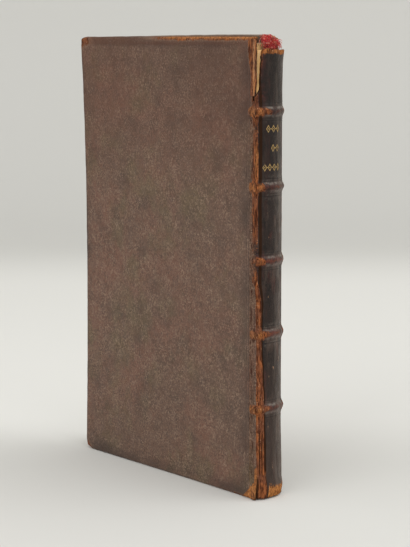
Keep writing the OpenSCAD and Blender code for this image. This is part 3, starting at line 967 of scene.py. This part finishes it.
def spine_groove_and_shade(angle, z):
    """1 in the creases, which are sunk and darkened with painted shade: beside the bare strip and the tail
    flap, in the folds and under the tail.
    """
    wide = smooth(66 * MM, 84 * MM, z)
    edge = strip_middle(z) + strip_half(z) + radians(1.5 + 2.8 * wide)
    crease_shade = near(angle - edge, radians(2.6 + 4.2 * wide)) * (1 - 0.8 * band_swell(z, 2.8 * MM))
    low = smooth(8 * MM, 0.0, z)
    beside = near(angle + radians(30 + 3 * low), radians(4.2 + 2.6 * low)) * smooth(11 * MM, 6 * MM, z)
    folds = max(near(angle + radians(place), radians(2.0)) for place in (26.5, 21.5, 16.5))
    folds *= 0.95 * smooth(7 * MM, 11 * MM, z) * smooth(34 * MM, 20 * MM, z)
    flap_side = near(angle + radians(9.8 + 0.6 * z / MM), radians(1.7))
    tail_edge = 0.8 * near(z, 1.1 * MM) * smooth(-radians(10), -radians(6), angle)
    return max(crease_shade * (1 - split_share(z)) * smooth(8 * MM, 12 * MM, z), beside, folds,
               flap_side * smooth(14 * MM, 9 * MM, z), tail_edge)


def joint_flap(angle, z):
    """1 on the pointed flap of bare leather beside the joint at the tail."""
    middle = -radians(18.5 - 0.3 * z / MM)
    half = radians(9.5) * smooth(13 * MM, 1 * MM, z) ** 0.7
    return near(angle - middle, half) if half > 0 else 0.0


def spine_wear(angle, z):
    """Bare leather along both joints, at the torn head, on the band ends and at the tail."""
    middle, half = strip_middle(z), strip_half(z)
    strip = strip_strength(z) * smooth(half * 1.35, half * 0.75, abs(angle - middle))
    strip = max(strip, smooth(14 * MM, 10 * MM, z) * smooth(-radians(24), -radians(30), angle))
    from_back = spine_half_angle() + angle
    from_front = spine_half_angle() - angle
    front_joint = 0.45 * near(from_front, radians(6) * (1 + 0.8 * cloud((0, 0, z), 11 * MM, 21.0)))
    beyond = spine_radius() * max(0.0, from_back - radians(4))
    longer = smooth(75 * MM, 68 * MM, z) + smooth(125 * MM, 132 * MM, z)
    band_end = 1.0 * lacing_knob(beyond * (0.62 - 0.24 * longer), z, 3.5 * MM)
    front_end = 0.6 * near(from_front, radians(15)) * band_swell(z, 2.8 * MM)
    crest = 0.36 * band_swell(z, 1.9 * MM)
    head = 1.0 * near(SPINE_HIGH.z - z, 2.6 * MM)
    torn = 0.45 * near(max(0.0, from_back - radians(17) * split_share(z)), radians(7)) * split_share(z)
    ragged = 0.9 * cloud(on_spine(angle, 0), 3 * MM, 26.0) + 0.5 * cloud(on_spine(angle, 0), 1.2 * MM, 28.0)
    tail = 1.1 * near(z, (9.0 + ragged) * MM) * smooth(-radians(11), -radians(8.5), angle)
    strip *= 1 - 0.6 * split_share(z)
    flap = 1.1 * joint_flap(angle, z)
    return max(strip, front_joint, band_end, front_end, crest, head, torn, tail, flap)


def spine_brown(angle, z):
    """1 where the leather keeps the covers' brown, between the joint and the bare strip."""
    edge = strip_middle(z) - strip_half(z) * 0.6
    kept = smooth(edge + radians(1.5), edge - radians(1.0), angle) * (1 - split_share(z))
    return kept * smooth(9 * MM, 16 * MM, z) * smooth(90 * MM, 78 * MM, z)


def spine_rub(angle, z):
    """Reddish leather on the crests of the bands, beside the bare strip, and round the split."""
    beside = 0.2 * near(angle + radians(15), radians(6)) * smooth(100 * MM, 112 * MM, z)
    below_split = near(z - 147 * MM, 7 * MM) * smooth(-radians(14), -radians(22), angle)
    from_edge = max(0.0, spine_half_angle() + angle - radians(17) * split_share(z))
    torn = near(from_edge, radians(9)) * split_share(z)
    return max(band_swell(z, 2.6 * MM), beside, below_split, torn)


def spine_painted_sheen(angle, z):
    """1 on the painted sheen, which makes the spine paler past its middle, and less so in its upper part.
    """
    return smooth(-radians(4), radians(22), angle) * (0.85 - 0.3 * smooth(116 * MM, 122 * MM, z))


def spine_fresh(angle, z):
    """1 where the bare leather is clean tan: at head and tail, on the knobs and on part of the strip."""
    tail = 1.3 * near(z, 14 * MM) * smooth(-radians(11), -radians(8), angle)
    lip = 0.8 * smooth(13 * MM, 9 * MM, z) * smooth(-radians(30), -radians(33), angle)
    head = 0.5 * near(SPINE_HIGH.z - z, 4 * MM)
    strip = 0.5 * near(z - 124 * MM, 9 * MM)
    knobs = 0.6 * near(angle + radians(27), radians(8)) * band_swell(z, 2.0 * MM)
    knobs *= 1 - 0.8 * near(z - 87 * MM, 8 * MM)
    return max(tail, lip, head, strip, knobs)


class BOOK_OT_spine(Operator):
    """Make the spine's leather: raised bands, tooled lines, torn head, bare strip and worn tail"""
    bl_idname = "book.spine"
    bl_label = "Spine leather"

    def execute(self, context):
        bm = copy_of("spine_leather")
        half = spine_half_angle()
        cut_round(bm, steps(-half, half, radians(1.5)) + steps(-half, -radians(16), radians(0.9)))
        torn_from, line_half = SPINE_HIGH.z - 2.4 * MM, 0.17 * MM
        zs = steps(SPINE_LOW.z, SPINE_HIGH.z, 1.1 * MM) + steps(torn_from, SPINE_HIGH.z, 0.4 * MM)
        for band in BAND_Z:
            zs += [band + sign * (LINE_FROM_BAND + offset) for sign in (-1, 1)
                   for offset in (-line_half, 0, line_half)]
        cut(bm, (0, 0, 1), sorted(zs))
        flat = [v.co.copy() for v in bm.verts]
        for vert in bm.verts:
            self.shape(vert)
        piece = object_from(bm, "spine_calf", "darkened_calf", "root")
        # One of these values is the painted highlight on the bands and beside the tooled lines.
        # One of these values is the painted shade in the creases, folds and gaps.
        # One of these values is the painted sheen past the spine's middle.
        for label, rule in (("wear", spine_wear), ("rub", spine_rub), ("tooling", spine_tooling),
                            ("groove", spine_groove_and_shade), ("brown", spine_brown), ("polish", spine_painted_highlight),
                            ("crest", spine_painted_sheen), ("fresh", spine_fresh)):
            paint(piece, label, lambda place: rule(spine_angle(place), place.z), flat)
        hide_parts("spine_leather")
        return {"FINISHED"}

    def shape(self, vert):
        """Moves one point of the leather: its relief, the torn head and split, and the ragged tail."""
        co = vert.co.copy()
        outward = Vector((co.x - spine_axis_x(), co.y, 0)).normalized()
        reach = hypot(co.x - spine_axis_x(), co.y) - spine_radius()
        outer = smooth(-sizes().leather * 0.7, -0.02 * MM, reach)
        angle = spine_angle(co)
        vert.co += outward * outer * spine_relief(angle, co.z) + Vector((0, 0, band_lift(co.z)))
        from_edge = spine_half_angle() + angle
        from_split = near(from_edge - radians(19) * split_share(co.z), radians(16))
        sideways = Vector((-sin(angle), cos(angle), 0))
        ragged_edge = 1.0 + 0.35 * cloud((0, 0, co.z), 1.3 * MM, 27.0)
        vert.co -= sideways * 0.95 * MM * from_split * split_share(co.z) * ragged_edge
        torn = smooth(SPINE_HIGH.z - 3.0 * MM, SPINE_HIGH.z, co.z)
        ragged = 0.9 * cloud(co, 2.2 * MM, 14.0) + 0.5 * cloud(co, 0.8 * MM, 15.0) - 0.1
        vert.co.z += torn * ragged * MM
        vert.co += outward * torn * outer * 0.15 * MM
        foot = near(co.z, 2.5 * MM)
        vert.co += outward * foot * 0.25 * MM * cloud(co, 2.5 * MM, 16.0)
        vert.co.z += max(0.0, foot * 0.5 * MM * cloud(co, 1.6 * MM, 17.0))
        room = HALF_T + SPINE_ROOM
        vert.co.y = max(-room, min(room, vert.co.y))


class BOOK_OT_joints(Operator):
    """Make the leather between the spine and each cover, and the back cover's torn lips"""
    bl_idname = "book.joints"
    bl_label = "Joint leather"

    def execute(self, context):
        for side in (BACK, FRONT):
            self.strip(side)
        self.lips()
        return {"FINISHED"}

    def span(self, side):
        """Lowest and highest place of the strip: the back one has split at its head."""
        top = HEIGHTS[BACK] - sizes().split_head if side == BACK else SPINE_HIGH.z - 0.4 * MM
        return SPINE_LOW.z + 0.3 * MM, top

    def place(self, side, across, z):
        """A point on the outside of the strip: across is 0 on the spine's edge and 1 on the cover."""
        angle = side * (spine_half_angle() - radians(0.8))
        on_band = band_swell(z, 2.9 * MM)
        relief = spine_relief(angle, z) if side == BACK else spine_swell(z)
        start = on_spine(angle, z, relief + sizes().band_rise * on_band + LEATHER_GAP)
        end = Vector((JOINT_X - sizes().overlap, side * (HALF_T + 0.13 * MM), z))
        point = start.lerp(end, across)
        arch = sin(pi * across)
        wrinkle = 0.10 * cloud((point.x, 0, z), 1.0 * MM, 31.0) + 0.08 * cloud((0, 0, z), 4 * MM, 32.0)
        sag = (0.35 * on_band - 0.16 * (1 - on_band)) * arch + wrinkle * arch
        point.z += band_lift(z)
        point.y += side * (sag * MM + lacing_bump(side, point.x, point.z) * across)
        return point

    def gap(self, side, across, z):
        """True where the strip is gone: in the back one's pointed tail split, and past its frayed top."""
        low, high = self.span(side)
        if side == BACK:
            opened = smooth(sizes().split_tail, 0.0, z)
            middle = 0.35 + 0.06 * cloud((0, 0, z), 3 * MM, 33.0)
            if abs(across - middle) < 0.32 * opened:
                return True
        fray = (1.6 + 1.4 * cloud((across * MM, 0, 0), 0.35 * MM, 34.0)) * MM
        return z > high - max(0.0, fray)

    def strip(self, side):
        """One joint's leather: a fine grid laid over the gap, opened where it has split."""
        low, high = self.span(side)

        def on_strip(co):
            return co.x + 0.5, low + (co.y + 0.5) * (high - low)

        bm = bmesh.new()
        bmesh.ops.create_grid(bm, x_segments=14, y_segments=330, size=0.5)
        for face in [f for f in bm.faces if self.gap(side, *on_strip(f.calc_center_median()))]:
            bm.faces.remove(face)
        loose = [v for v in bm.verts if not v.link_faces]
        bmesh.ops.delete(bm, geom=loose, context="VERTS")
        for vert in bm.verts:
            vert.co = self.place(side, *on_strip(vert.co))
        face_outwards(bm, side)
        bmesh.ops.solidify(bm, geom=bm.faces, thickness=sizes().joint_leather)
        piece = object_from(bm, f"{SIDE_NAMES[side]}_joint_calf", "joint_calf")
        paint(piece, "wear", lambda co: self.wear(side, co))
        paint(piece, "fresh", lambda co: self.fresh(co) if side == BACK else 0.0)
        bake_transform(piece)

    def wear(self, side, co):
        """Bare on the cords, at both ends and beside the spine's bare strip; brown in the rest."""
        low, high = self.span(side)
        z = co.z - band_lift(co.z)
        worn = 0.16 + 0.3 * cloud(co, 8 * MM, 35.0)
        across = (self.lip_x() - co.x) / (self.lip_x() - JOINT_X + sizes().overlap)
        reach = 0.55 + 0.45 * smooth(95 * MM, 105 * MM, co.z)
        knobs = 0.95 * band_swell(z, 3.4 * MM) * smooth(reach + 0.2, reach - 0.1, across)
        knobs *= 1 - 0.5 * near(z - 87 * MM, 8 * MM)
        if side == FRONT:
            return max(worn, 0.7 * knobs)
        beside = strip_strength(co.z) * smooth(0.60, 0.34, across) * smooth(72 * MM, 84 * MM, co.z)
        ends = max(1.2 * in_flap(JOINT_X - co.x, co.z), 0.5 * near(high - co.z, 6 * MM))
        return max(worn, knobs, beside, ends)

    def fresh(self, co):
        """Clean tan on the tail flap and on the lumps over the cords, but little by the middle band."""
        lumps = 0.5 * band_swell(co.z - band_lift(co.z), 2.4 * MM)
        lumps *= 1 - 0.8 * near(co.z - 88 * MM, 8 * MM)
        return max(0.8 * in_flap(JOINT_X - co.x, co.z), lumps)

    def lip_x(self):
        """Where the spine leather ends and the joint begins."""
        return HINGE_X + sizes().spine_lip

    def lips(self):
        """The leather torn off with the back cover: a long lip at the head and a flap at the tail."""
        bm = bmesh.new()
        head, foot = HEIGHTS[BACK] - 0.8 * MM, HEIGHTS[BACK] - sizes().split_head + 1.0 * MM
        torn_lip(bm, foot, head, lambda z: 2.0 * MM * smooth(foot - 5 * MM, foot + 6 * MM, z),
                 lambda z: 0.1 * MM, 36.0)
        torn_lip(bm, 0.3 * MM, 10 * MM, lambda z: 2.8 * MM * smooth(10.5 * MM, 3 * MM, z) ** 0.7,
                 lambda z: 1.0 * MM * near(z, 11 * MM), 38.0)
        face_outwards(bm, BACK)
        bmesh.ops.solidify(bm, geom=bm.faces, thickness=sizes().lip_leather)
        piece = object_from(bm, "back_torn_lips", "joint_calf", "back_cover")
        ridge = JOINT_X + 1.0 * MM
        paint(piece, "wear", lambda co: 0.95 if co.z > foot else 0.2 + in_flap(JOINT_X - co.x, co.z))
        paint(piece, "pale", lambda co: 0.8 * near(co.x - ridge, 0.7 * MM) if co.z > foot else 0.0)
        paint(piece, "fresh", lambda co: 0.7 * near(co.x - ridge, 0.9 * MM) if co.z > foot else 0.9)


class BOOK_OT_lining(Operator):
    """Make the lining seen through the split: dark with glue and painted shade, and pale where the
    parchment is bare
    """
    bl_idname = "book.lining"
    bl_label = "Lining"

    def execute(self, context):
        node = f"lining_panel_{BAND_COUNT + 1}"
        bm = copy_of(node)
        low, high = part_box(node)
        cut_round(bm, steps(-spine_half_angle(), spine_half_angle(), radians(1.2)))
        cut(bm, (0, 0, 1), steps(low.z, high.z, 1.2 * MM))
        piece = object_from(bm, "head_lining", "spine_parchment", "root")
        paint(piece, "bare", self.bare)
        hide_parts(node)
        return {"FINISHED"}

    def bare(self, co):
        """1 on the pale strip, which narrows to a point at the foot of the split."""
        share = smooth(HEIGHTS[BACK] - sizes().split_head, HEIGHTS[BACK] - 6 * MM, co.z)
        middle = -radians(31.5 - 6.0 * share)
        half = radians(2.0 + 5.0 * share) * (1 + 0.2 * cloud((0, 0, co.z), 2.5 * MM, 45.0))
        return smooth(half * 1.3, half * 0.7, abs(spine_angle(co) - middle))


class BOOK_OT_gilding(Operator):
    """Make three short rows of gilt ornament in the upper part of the spine"""
    bl_idname = "book.gilding"
    bl_label = "Gilding"

    def execute(self, context):
        bm = bmesh.new()
        lozenge_w, lozenge_h, dot_w = 1.7 * MM, 2.8 * MM, 0.48 * MM
        # Each row's height, count of lozenges, and their pitch and middle in degrees round the spine
        rows = ((135.4 * MM, 3, 12.0, 1.0), (128.5 * MM, 2, 11.5, 6.0), (121.6 * MM, 4, 11.0, -1.5))
        for height, count, pitch, middle in rows:
            for i in range(count):
                angle = radians(middle + (i - (count - 1) / 2) * pitch)
                self.lozenge(bm, angle, height, lozenge_w / 2, lozenge_h / 2)
                if i < count - 1:
                    self.dot(bm, angle + radians(pitch / 2), height, dot_w / 2)
        bmesh.ops.recalc_face_normals(bm, faces=bm.faces)
        object_from(bm, "gilt_ornament", "rubbed_gold", "root", False)
        return {"FINISHED"}

    def bend(self, verts, angle, z, lift):
        """Lays a flat outline on the leather's face, with its middle at an angle and a height."""
        for vert in verts:
            turn, up = angle + vert.co.x / spine_radius(), z + vert.co.y
            vert.co = on_spine(turn, up, spine_relief(turn, up) + lift)

    def raised(self, bm, ring, angle, z):
        """Turns a flat ring of faces into thin leaf on the leather, with its foot sunk in the leather."""
        faces = list({f for v in ring for f in v.link_faces})
        top = bmesh.ops.extrude_face_region(bm, geom=faces)["geom"]
        shaded_creases, proud = -0.10 * MM, 0.045 * MM
        self.bend(ring, angle, z, shaded_creases)
        self.bend(new_verts(top), angle, z, proud)

    def lozenge(self, bm, angle, z, half_width, half_height):
        """An open lozenge with a small dot in its middle."""
        line_w, dot_radius = 0.26 * MM, 0.2 * MM
        outer = bmesh.ops.create_circle(bm, cap_ends=True, segments=4, radius=half_height)["verts"]
        face = outer[0].link_faces[0]
        for vert in outer:
            vert.co.x *= half_width / half_height
        bmesh.ops.subdivide_edges(bm, edges=face.edges[:], cuts=3)
        ring = bmesh.ops.inset_region(bm, faces=[face], thickness=line_w, use_boundary=True)["faces"]
        bmesh.ops.delete(bm, geom=[face], context="FACES")
        verts = list({v for f in ring for v in f.verts})
        self.raised(bm, verts, angle, z)
        self.dot(bm, angle, z, dot_radius)

    def dot(self, bm, angle, z, radius):
        verts = bmesh.ops.create_circle(bm, cap_ends=True, segments=10, radius=radius)["verts"]
        self.raised(bm, verts, angle, z)


class BOOK_OT_leaves(Operator):
    """Make the text block: bundles of leaves that fan out to the shoulders of the round back"""
    bl_idname = "book.leaves"
    bl_label = "Leaves"

    def execute(self, context):
        self.core()
        self.bundles()
        return {"FINISHED"}

    def core(self):
        """The mass of the leaves, set back a little at head, tail and fore-edge."""
        bm = copy_of("text_block")
        back = 0.35 * MM
        for vert in bm.verts:
            if vert.co.z > LEAVES_HIGH.z - back:
                vert.co.z -= back
            elif vert.co.z < LEAVES_LOW.z + back:
                vert.co.z += back
            if vert.co.x < LEAVES_LOW.x + 2 * MM:
                vert.co.x += back
        cut(bm, (1, 0, 0), [HINGE_X - 1.2 * MM, HINGE_X - 0.5 * MM, HINGE_X + 0.2 * MM])
        cut(bm, (0, 0, 1), [SPINE_HIGH.z - 0.5 * MM, SPINE_HIGH.z, SPINE_HIGH.z + 0.5 * MM,
                            LEAVES_HIGH.z - 0.6 * MM])
        piece = object_from(bm, "leaves_core", "leaf_edges", "root", False)
        paint(piece, "glue", self.glued)
        paint(piece, "cream", self.cream)
        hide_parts("text_block")

    def glued(self, co):
        """1 on the backs of the folds, where glue has browned them, but not near their cut ends."""
        behind_silk = smooth(-radians(27), -radians(23), spine_angle(co))
        above = smooth(SPINE_HIGH.z - 0.5 * MM, SPINE_HIGH.z + 0.5 * MM, co.z)
        edge = smooth(LEAVES_HIGH.z - 0.6 * MM, LEAVES_HIGH.z - 0.35 * MM, co.z)
        return self.on_back(co) * (1 - above * (1 - behind_silk)) * (1 - edge)

    def cream(self, co):
        """1 on the backs of the leaves above the spine leather."""
        return self.on_back(co) * smooth(SPINE_HIGH.z - 0.5 * MM, SPINE_HIGH.z, co.z)

    def on_back(self, co):
        """1 on the round back of the leaves."""
        return smooth(HINGE_X - 1.2 * MM, HINGE_X + 0.2 * MM, co.x)

    def path(self, share):
        """Where one bundle runs, from the hollow fore-edge to the round back, seen from above."""
        level = share * self.half_thickness()
        hollow = sizes().fore_hollow * (1 - share * share)
        radius = LEAVES_HIGH.x - spine_axis_x()
        back_angle = share * asin(LEAVES_HIGH.y / radius)
        fold = Vector((spine_axis_x() + radius * cos(back_angle), radius * sin(back_angle)))
        start = Vector((LEAVES_LOW.x + hollow, level))
        bend = Vector((HINGE_X - 0.35 * MM - 0.5 * MM * (1 - abs(share)), level))
        knee = bend.lerp(fold, 0.3) + Vector((0.12 * MM, 0))
        between = [Vector((LEAVES_LOW.x + 30 * MM, level)), Vector((HINGE_X - 3 * MM, level))]
        return [start, *between, bend, knee, fold - Vector((0.1 * MM, 0))]

    def half_thickness(self):
        """Half the thickness of all the leaves between the two flyleaves."""
        return -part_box("back_flyleaf")[1].y

    def bundles(self):
        """Thin folded sheets of leaves, cut a little unevenly."""
        random.seed(7)
        count = sizes().leaf_count
        thick = 0.8 * 2 * self.half_thickness() / count
        uneven_ends, uneven_fore_edge = 0.16 * MM, 0.22 * MM
        bm = bmesh.new()
        for i in range(count):
            share = 2 * (i + 0.5) / count - 1
            low = LEAVES_LOW.z + random.uniform(0, uneven_ends)
            high = LEAVES_HIGH.z - random.uniform(0, uneven_ends)
            path = self.path(share * (1 - 0.5 / count))
            path[0].x += random.uniform(0, uneven_fore_edge)
            foot = [bm.verts.new((p.x, p.y, low)) for p in path]
            edges = [bm.edges.new(pair) for pair in zip(foot, foot[1:])]
            grown = bmesh.ops.extrude_edge_only(bm, edges=edges)["geom"]
            for vert in new_verts(grown):
                vert.co.z = high
            faces = [g for g in grown if isinstance(g, bmesh.types.BMFace)]
            bmesh.ops.recalc_face_normals(bm, faces=faces)
            centre = sum(p.y for p in path) / len(path)
            bmesh.ops.solidify(bm, geom=faces, thickness=thick)
            leaf = bm.verts[:][-4 * len(path):]
            drift = sum(v.co.y for v in leaf) / len(leaf) - centre
            bmesh.ops.translate(bm, verts=leaf, vec=(0, -drift, 0))
        bmesh.ops.recalc_face_normals(bm, faces=bm.faces)
        piece = object_from(bm, "leaf_bundles", "leaf_edges", "root", False)
        paint(piece, "glue", self.glued)


class BOOK_OT_endbands(Operator):
    """Make both silk endbands: wound and tied down at the tail, loose and frayed at the head"""
    bl_idname = "book.endbands"
    bl_label = "Endbands"

    def execute(self, context):
        random.seed(11)
        self.wound("tail_endband_silk", "tail_silk", frayed=False)
        self.wound("head_endband_silk", "head_silk", frayed=True)
        return {"FINISHED"}

    def wound(self, node, name, frayed):
        """Rings of silk round the core, with threads tied down over the backs of the leaves."""
        bm = bmesh.new()
        low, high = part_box(node)
        thread, band_radius, lining = sizes().thread, sizes().endband / 2, 0.25 * MM
        outside = high.x - spine_axis_x()
        middle_z = high.z - band_radius if frayed else low.z + band_radius
        tied_z = low.z if frayed else high.z
        middle_r = outside - band_radius - lining
        half = asin(high.y / outside) * 0.96
        turns = 24
        for i in range(turns):
            angle = -half + 2 * half * i / (turns - 1)
            lift = 0.15 * MM * cloud((i, 0, 0), 1.7, 41.0) - self.droop(angle, half) if frayed else 0.0
            self.ring(bm, angle, middle_r, middle_z + lift, band_radius - thread, thread)
            self.tie(bm, angle, outside - thread, middle_z + lift, tied_z, thread)
        if frayed:
            self.fray(bm, half, middle_r, middle_z, thread)
        bmesh.ops.recalc_face_normals(bm, faces=bm.faces)
        piece = object_from(bm, name, "red_silk_thread", "root")
        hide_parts(node)

    def droop(self, angle, half):
        """How far the frayed endband has sunk towards the front cover."""
        return 1.5 * MM * smooth(0.1 * half, half, angle)

    def ring(self, bm, angle, reach, z, radius, thread):
        """One turn of silk round the core, leaning a little."""
        points = []
        for k in range(13):
            turn = 2 * pi * k / 12
            lean = angle + 0.012 * sin(turn / 2)
            out = reach + radius * cos(turn)
            points.append(Vector((spine_axis_x() + out * cos(lean), out * sin(lean),
                                  z + radius * sin(turn))))
        sweep_thread(bm, points, thread)

    def tie(self, bm, angle, reach, top, foot, thread):
        """A slightly wavy thread tied down over the back of the leaves."""
        points = []
        for k in range(6):
            z = top + (foot - top) * k / 5
            out = reach - 0.05 * MM * sin(k * 1.3)
            points.append(Vector((spine_axis_x() + out * cos(angle), out * sin(angle), z)))
        sweep_thread(bm, points, thread * 0.8)

    def fray(self, bm, half, reach, z, thread):
        """Loose silk: a soft tuft towards the back joint, and sparser threads along the whole band."""
        all_threads, tuft_threads = 270, 130
        for i in range(all_threads):
            tuft = i < tuft_threads
            angle = random.gauss(-0.62, 0.24) * half if tuft else random.uniform(-0.9, 1.55) * half
            level = z - self.droop(angle, half)
            start = Vector((spine_axis_x() + reach * cos(angle), reach * sin(angle),
                            level + random.uniform(-1.4, 0.5) * MM))
            outward = Vector((cos(angle), sin(angle), 0))
            sideways = Vector((-sin(angle), cos(angle), 0)) * random.gauss(0, 0.7)
            widest = 1.9 + 0.7 * smooth(0, half, angle)
            spread = random.uniform(0.7, 1.5) if tuft else random.uniform(0.8, widest)
            fall = random.uniform(-2.6, 0.2) if tuft else random.uniform(-2.4, 0.0)
            tip = start + (outward * spread + sideways + Vector((0, 0, fall))) * MM
            crown = start.lerp(tip, 0.5) + outward * random.uniform(0.0, 0.9) * MM
            crown.z = level + random.uniform(0.2, 1.8 if tuft else 1.3) * MM
            points = [(1 - t) ** 2 * start + 2 * t * (1 - t) * crown + t * t * tip
                      for t in (0, 0.2, 0.4, 0.6, 0.8, 1)]
            own_place = random.uniform(0, 40)
            for k, point in enumerate(points[1:-1]):
                wobble = [cloud((k, own_place, row), 1.3, seed) for row, seed in ((0, 42.0), (9, 43.0))]
                point += Vector((*wobble, 0)) * 0.35 * MM
            sweep_thread(bm, points, thread * random.uniform(0.45, 0.85), 5)


class BOOK_OT_inner_pieces(Operator):
    """Give the cords, slips, cores, linings and flyleaves their finishes"""
    bl_idname = "book.inner_pieces"
    bl_label = "Cords, linings and flyleaves"

    def execute(self, context):
        finishes = {"sewing_cord": "twisted_hemp", "cord_slips": "twisted_hemp",
                    "endband_core": "twisted_hemp", "lining_panel": "spine_parchment",
                    "flyleaf": "plain_leaf"}
        for name, node in frame["nodes"].items():
            for part, finish in finishes.items():
                if part in name:
                    node.data.materials.clear()
                    node.data.materials.append(bpy.data.materials[finish])
        return {"FINISHED"}


class BOOK_OT_stage(Operator):
    """Make the floor, the lamps and the camera"""
    bl_idname = "book.stage"
    bl_label = "Stage"

    def execute(self, context):
        self.sweep()
        self.light(context.scene)
        self.camera(context.scene)
        context.scene.view_settings.view_transform = "Standard"
        return {"FINISHED"}

    def sweep(self):
        """A floor that curves up into a backdrop far behind the book, seen from the camera."""
        bm = bmesh.new()
        away, right = view_axes()
        half_width, front_reach, top = 4.0, 4.0, 3.0
        radius, start = 0.35, 0.62
        profile = [(-front_reach, 0.0), (start, 0.0)]
        profile += [(start + radius * sin(radians(turn)), radius * (1 - cos(radians(turn))))
                    for turn in range(6, 91, 6)]
        profile += [(start + radius, top)]
        line = [bm.verts.new(away * out - right * half_width + Vector((0, 0, up))) for out, up in profile]
        edges = [bm.edges.new(pair) for pair in zip(line, line[1:])]
        grown = bmesh.ops.extrude_edge_only(bm, edges=edges)["geom"]
        bmesh.ops.translate(bm, verts=new_verts(grown), vec=right * 2 * half_width)
        bmesh.ops.recalc_face_normals(bm, faces=bm.faces)
        floor = mesh_object(bm, "sweep", stage_material())

    def light(self, scene):
        """Even light from all round, with a large soft lamp above and one that faces the back cover."""
        world = bpy.data.worlds.new("soft_light")
        world.use_nodes = True
        background = world.node_tree.nodes["Background"]
        background.inputs["Color"].default_value = (1.0, 1.0, 1.0, 1.0)
        background.inputs["Strength"].default_value = scene.book_stage.world
        scene.world = world
        self.lamp("key", 0.5, -0.25, 0.9, 1.2, scene.book_stage.key)
        self.lamp("fill", -0.6, -0.7, 0.4, 0.8, scene.book_stage.fill)

    def lamp(self, name, rightwards, backwards, upwards, size, power):
        """A square lamp that faces the book's middle, placed from there as the camera sees it."""
        data = bpy.data.lights.new(name, "AREA")
        data.size = size
        data.energy = power
        lamp = bpy.data.objects.new(name, data)
        bpy.context.scene.collection.objects.link(lamp)
        away, right = view_axes()
        place = right * rightwards + away * backwards + Vector((0, 0, upwards))
        lamp.location = Vector((0, 0, 80 * MM)) + place
        lamp.rotation_euler = (-place).to_track_quat("-Z", "Y").to_euler()

    def camera(self, scene):
        """The camera at the photograph's viewing angle."""
        stage = scene.book_stage
        data = bpy.data.cameras.new("camera")
        data.lens = stage.lens
        data.sensor_width = 36
        data.shift_y = stage.shift
        data.clip_start, data.clip_end = 0.01, 20
        camera = bpy.data.objects.new("camera", data)
        scene.collection.objects.link(camera)
        camera.location = stage.camera_place
        turn, pitch = stage.camera_turn, stage.camera_pitch
        forward = Vector((-sin(turn) * cos(pitch), cos(turn) * cos(pitch), -sin(pitch)))
        camera.rotation_euler = forward.to_track_quat("-Z", "Y").to_euler()
        scene.camera = camera


STEPS = (BOOK_OT_stage, BOOK_OT_materials, BOOK_OT_covers, BOOK_OT_spine, BOOK_OT_joints, BOOK_OT_lining,
         BOOK_OT_gilding, BOOK_OT_leaves, BOOK_OT_endbands, BOOK_OT_inner_pieces)


class BOOK_PT_panel(Panel):
    """The steps that dress the book, in order"""
    bl_idname = "BOOK_PT_panel"
    bl_label = "Antique Leather Book"
    bl_space_type = "VIEW_3D"
    bl_region_type = "UI"
    bl_category = "Book"

    def draw(self, context):
        for step in STEPS:
            self.layout.operator(step.bl_idname)
        for group in (context.scene.book_sizes, context.scene.book_colours, context.scene.book_stage):
            box = self.layout.box()
            for name in group.__annotations__:
                box.prop(group, name)


GROUPS = (("book_sizes", BookSizes), ("book_colours", BookColours), ("book_stage", BookStage))


def register():
    for name, group in GROUPS:
        bpy.utils.register_class(group)
        setattr(bpy.types.Scene, name, PointerProperty(type=group))
    for step in STEPS:
        bpy.utils.register_class(step)
    bpy.utils.register_class(BOOK_PT_panel)


def unregister():
    bpy.utils.unregister_class(BOOK_PT_panel)
    for step in reversed(STEPS):
        bpy.utils.unregister_class(step)
    for name, group in reversed(GROUPS):
        delattr(bpy.types.Scene, name)
        bpy.utils.unregister_class(group)


def main():
    register()
    for step in STEPS:
        area, action = step.bl_idname.split(".")
        getattr(getattr(bpy.ops, area), action)()


if __name__ == "__main__":
    main()
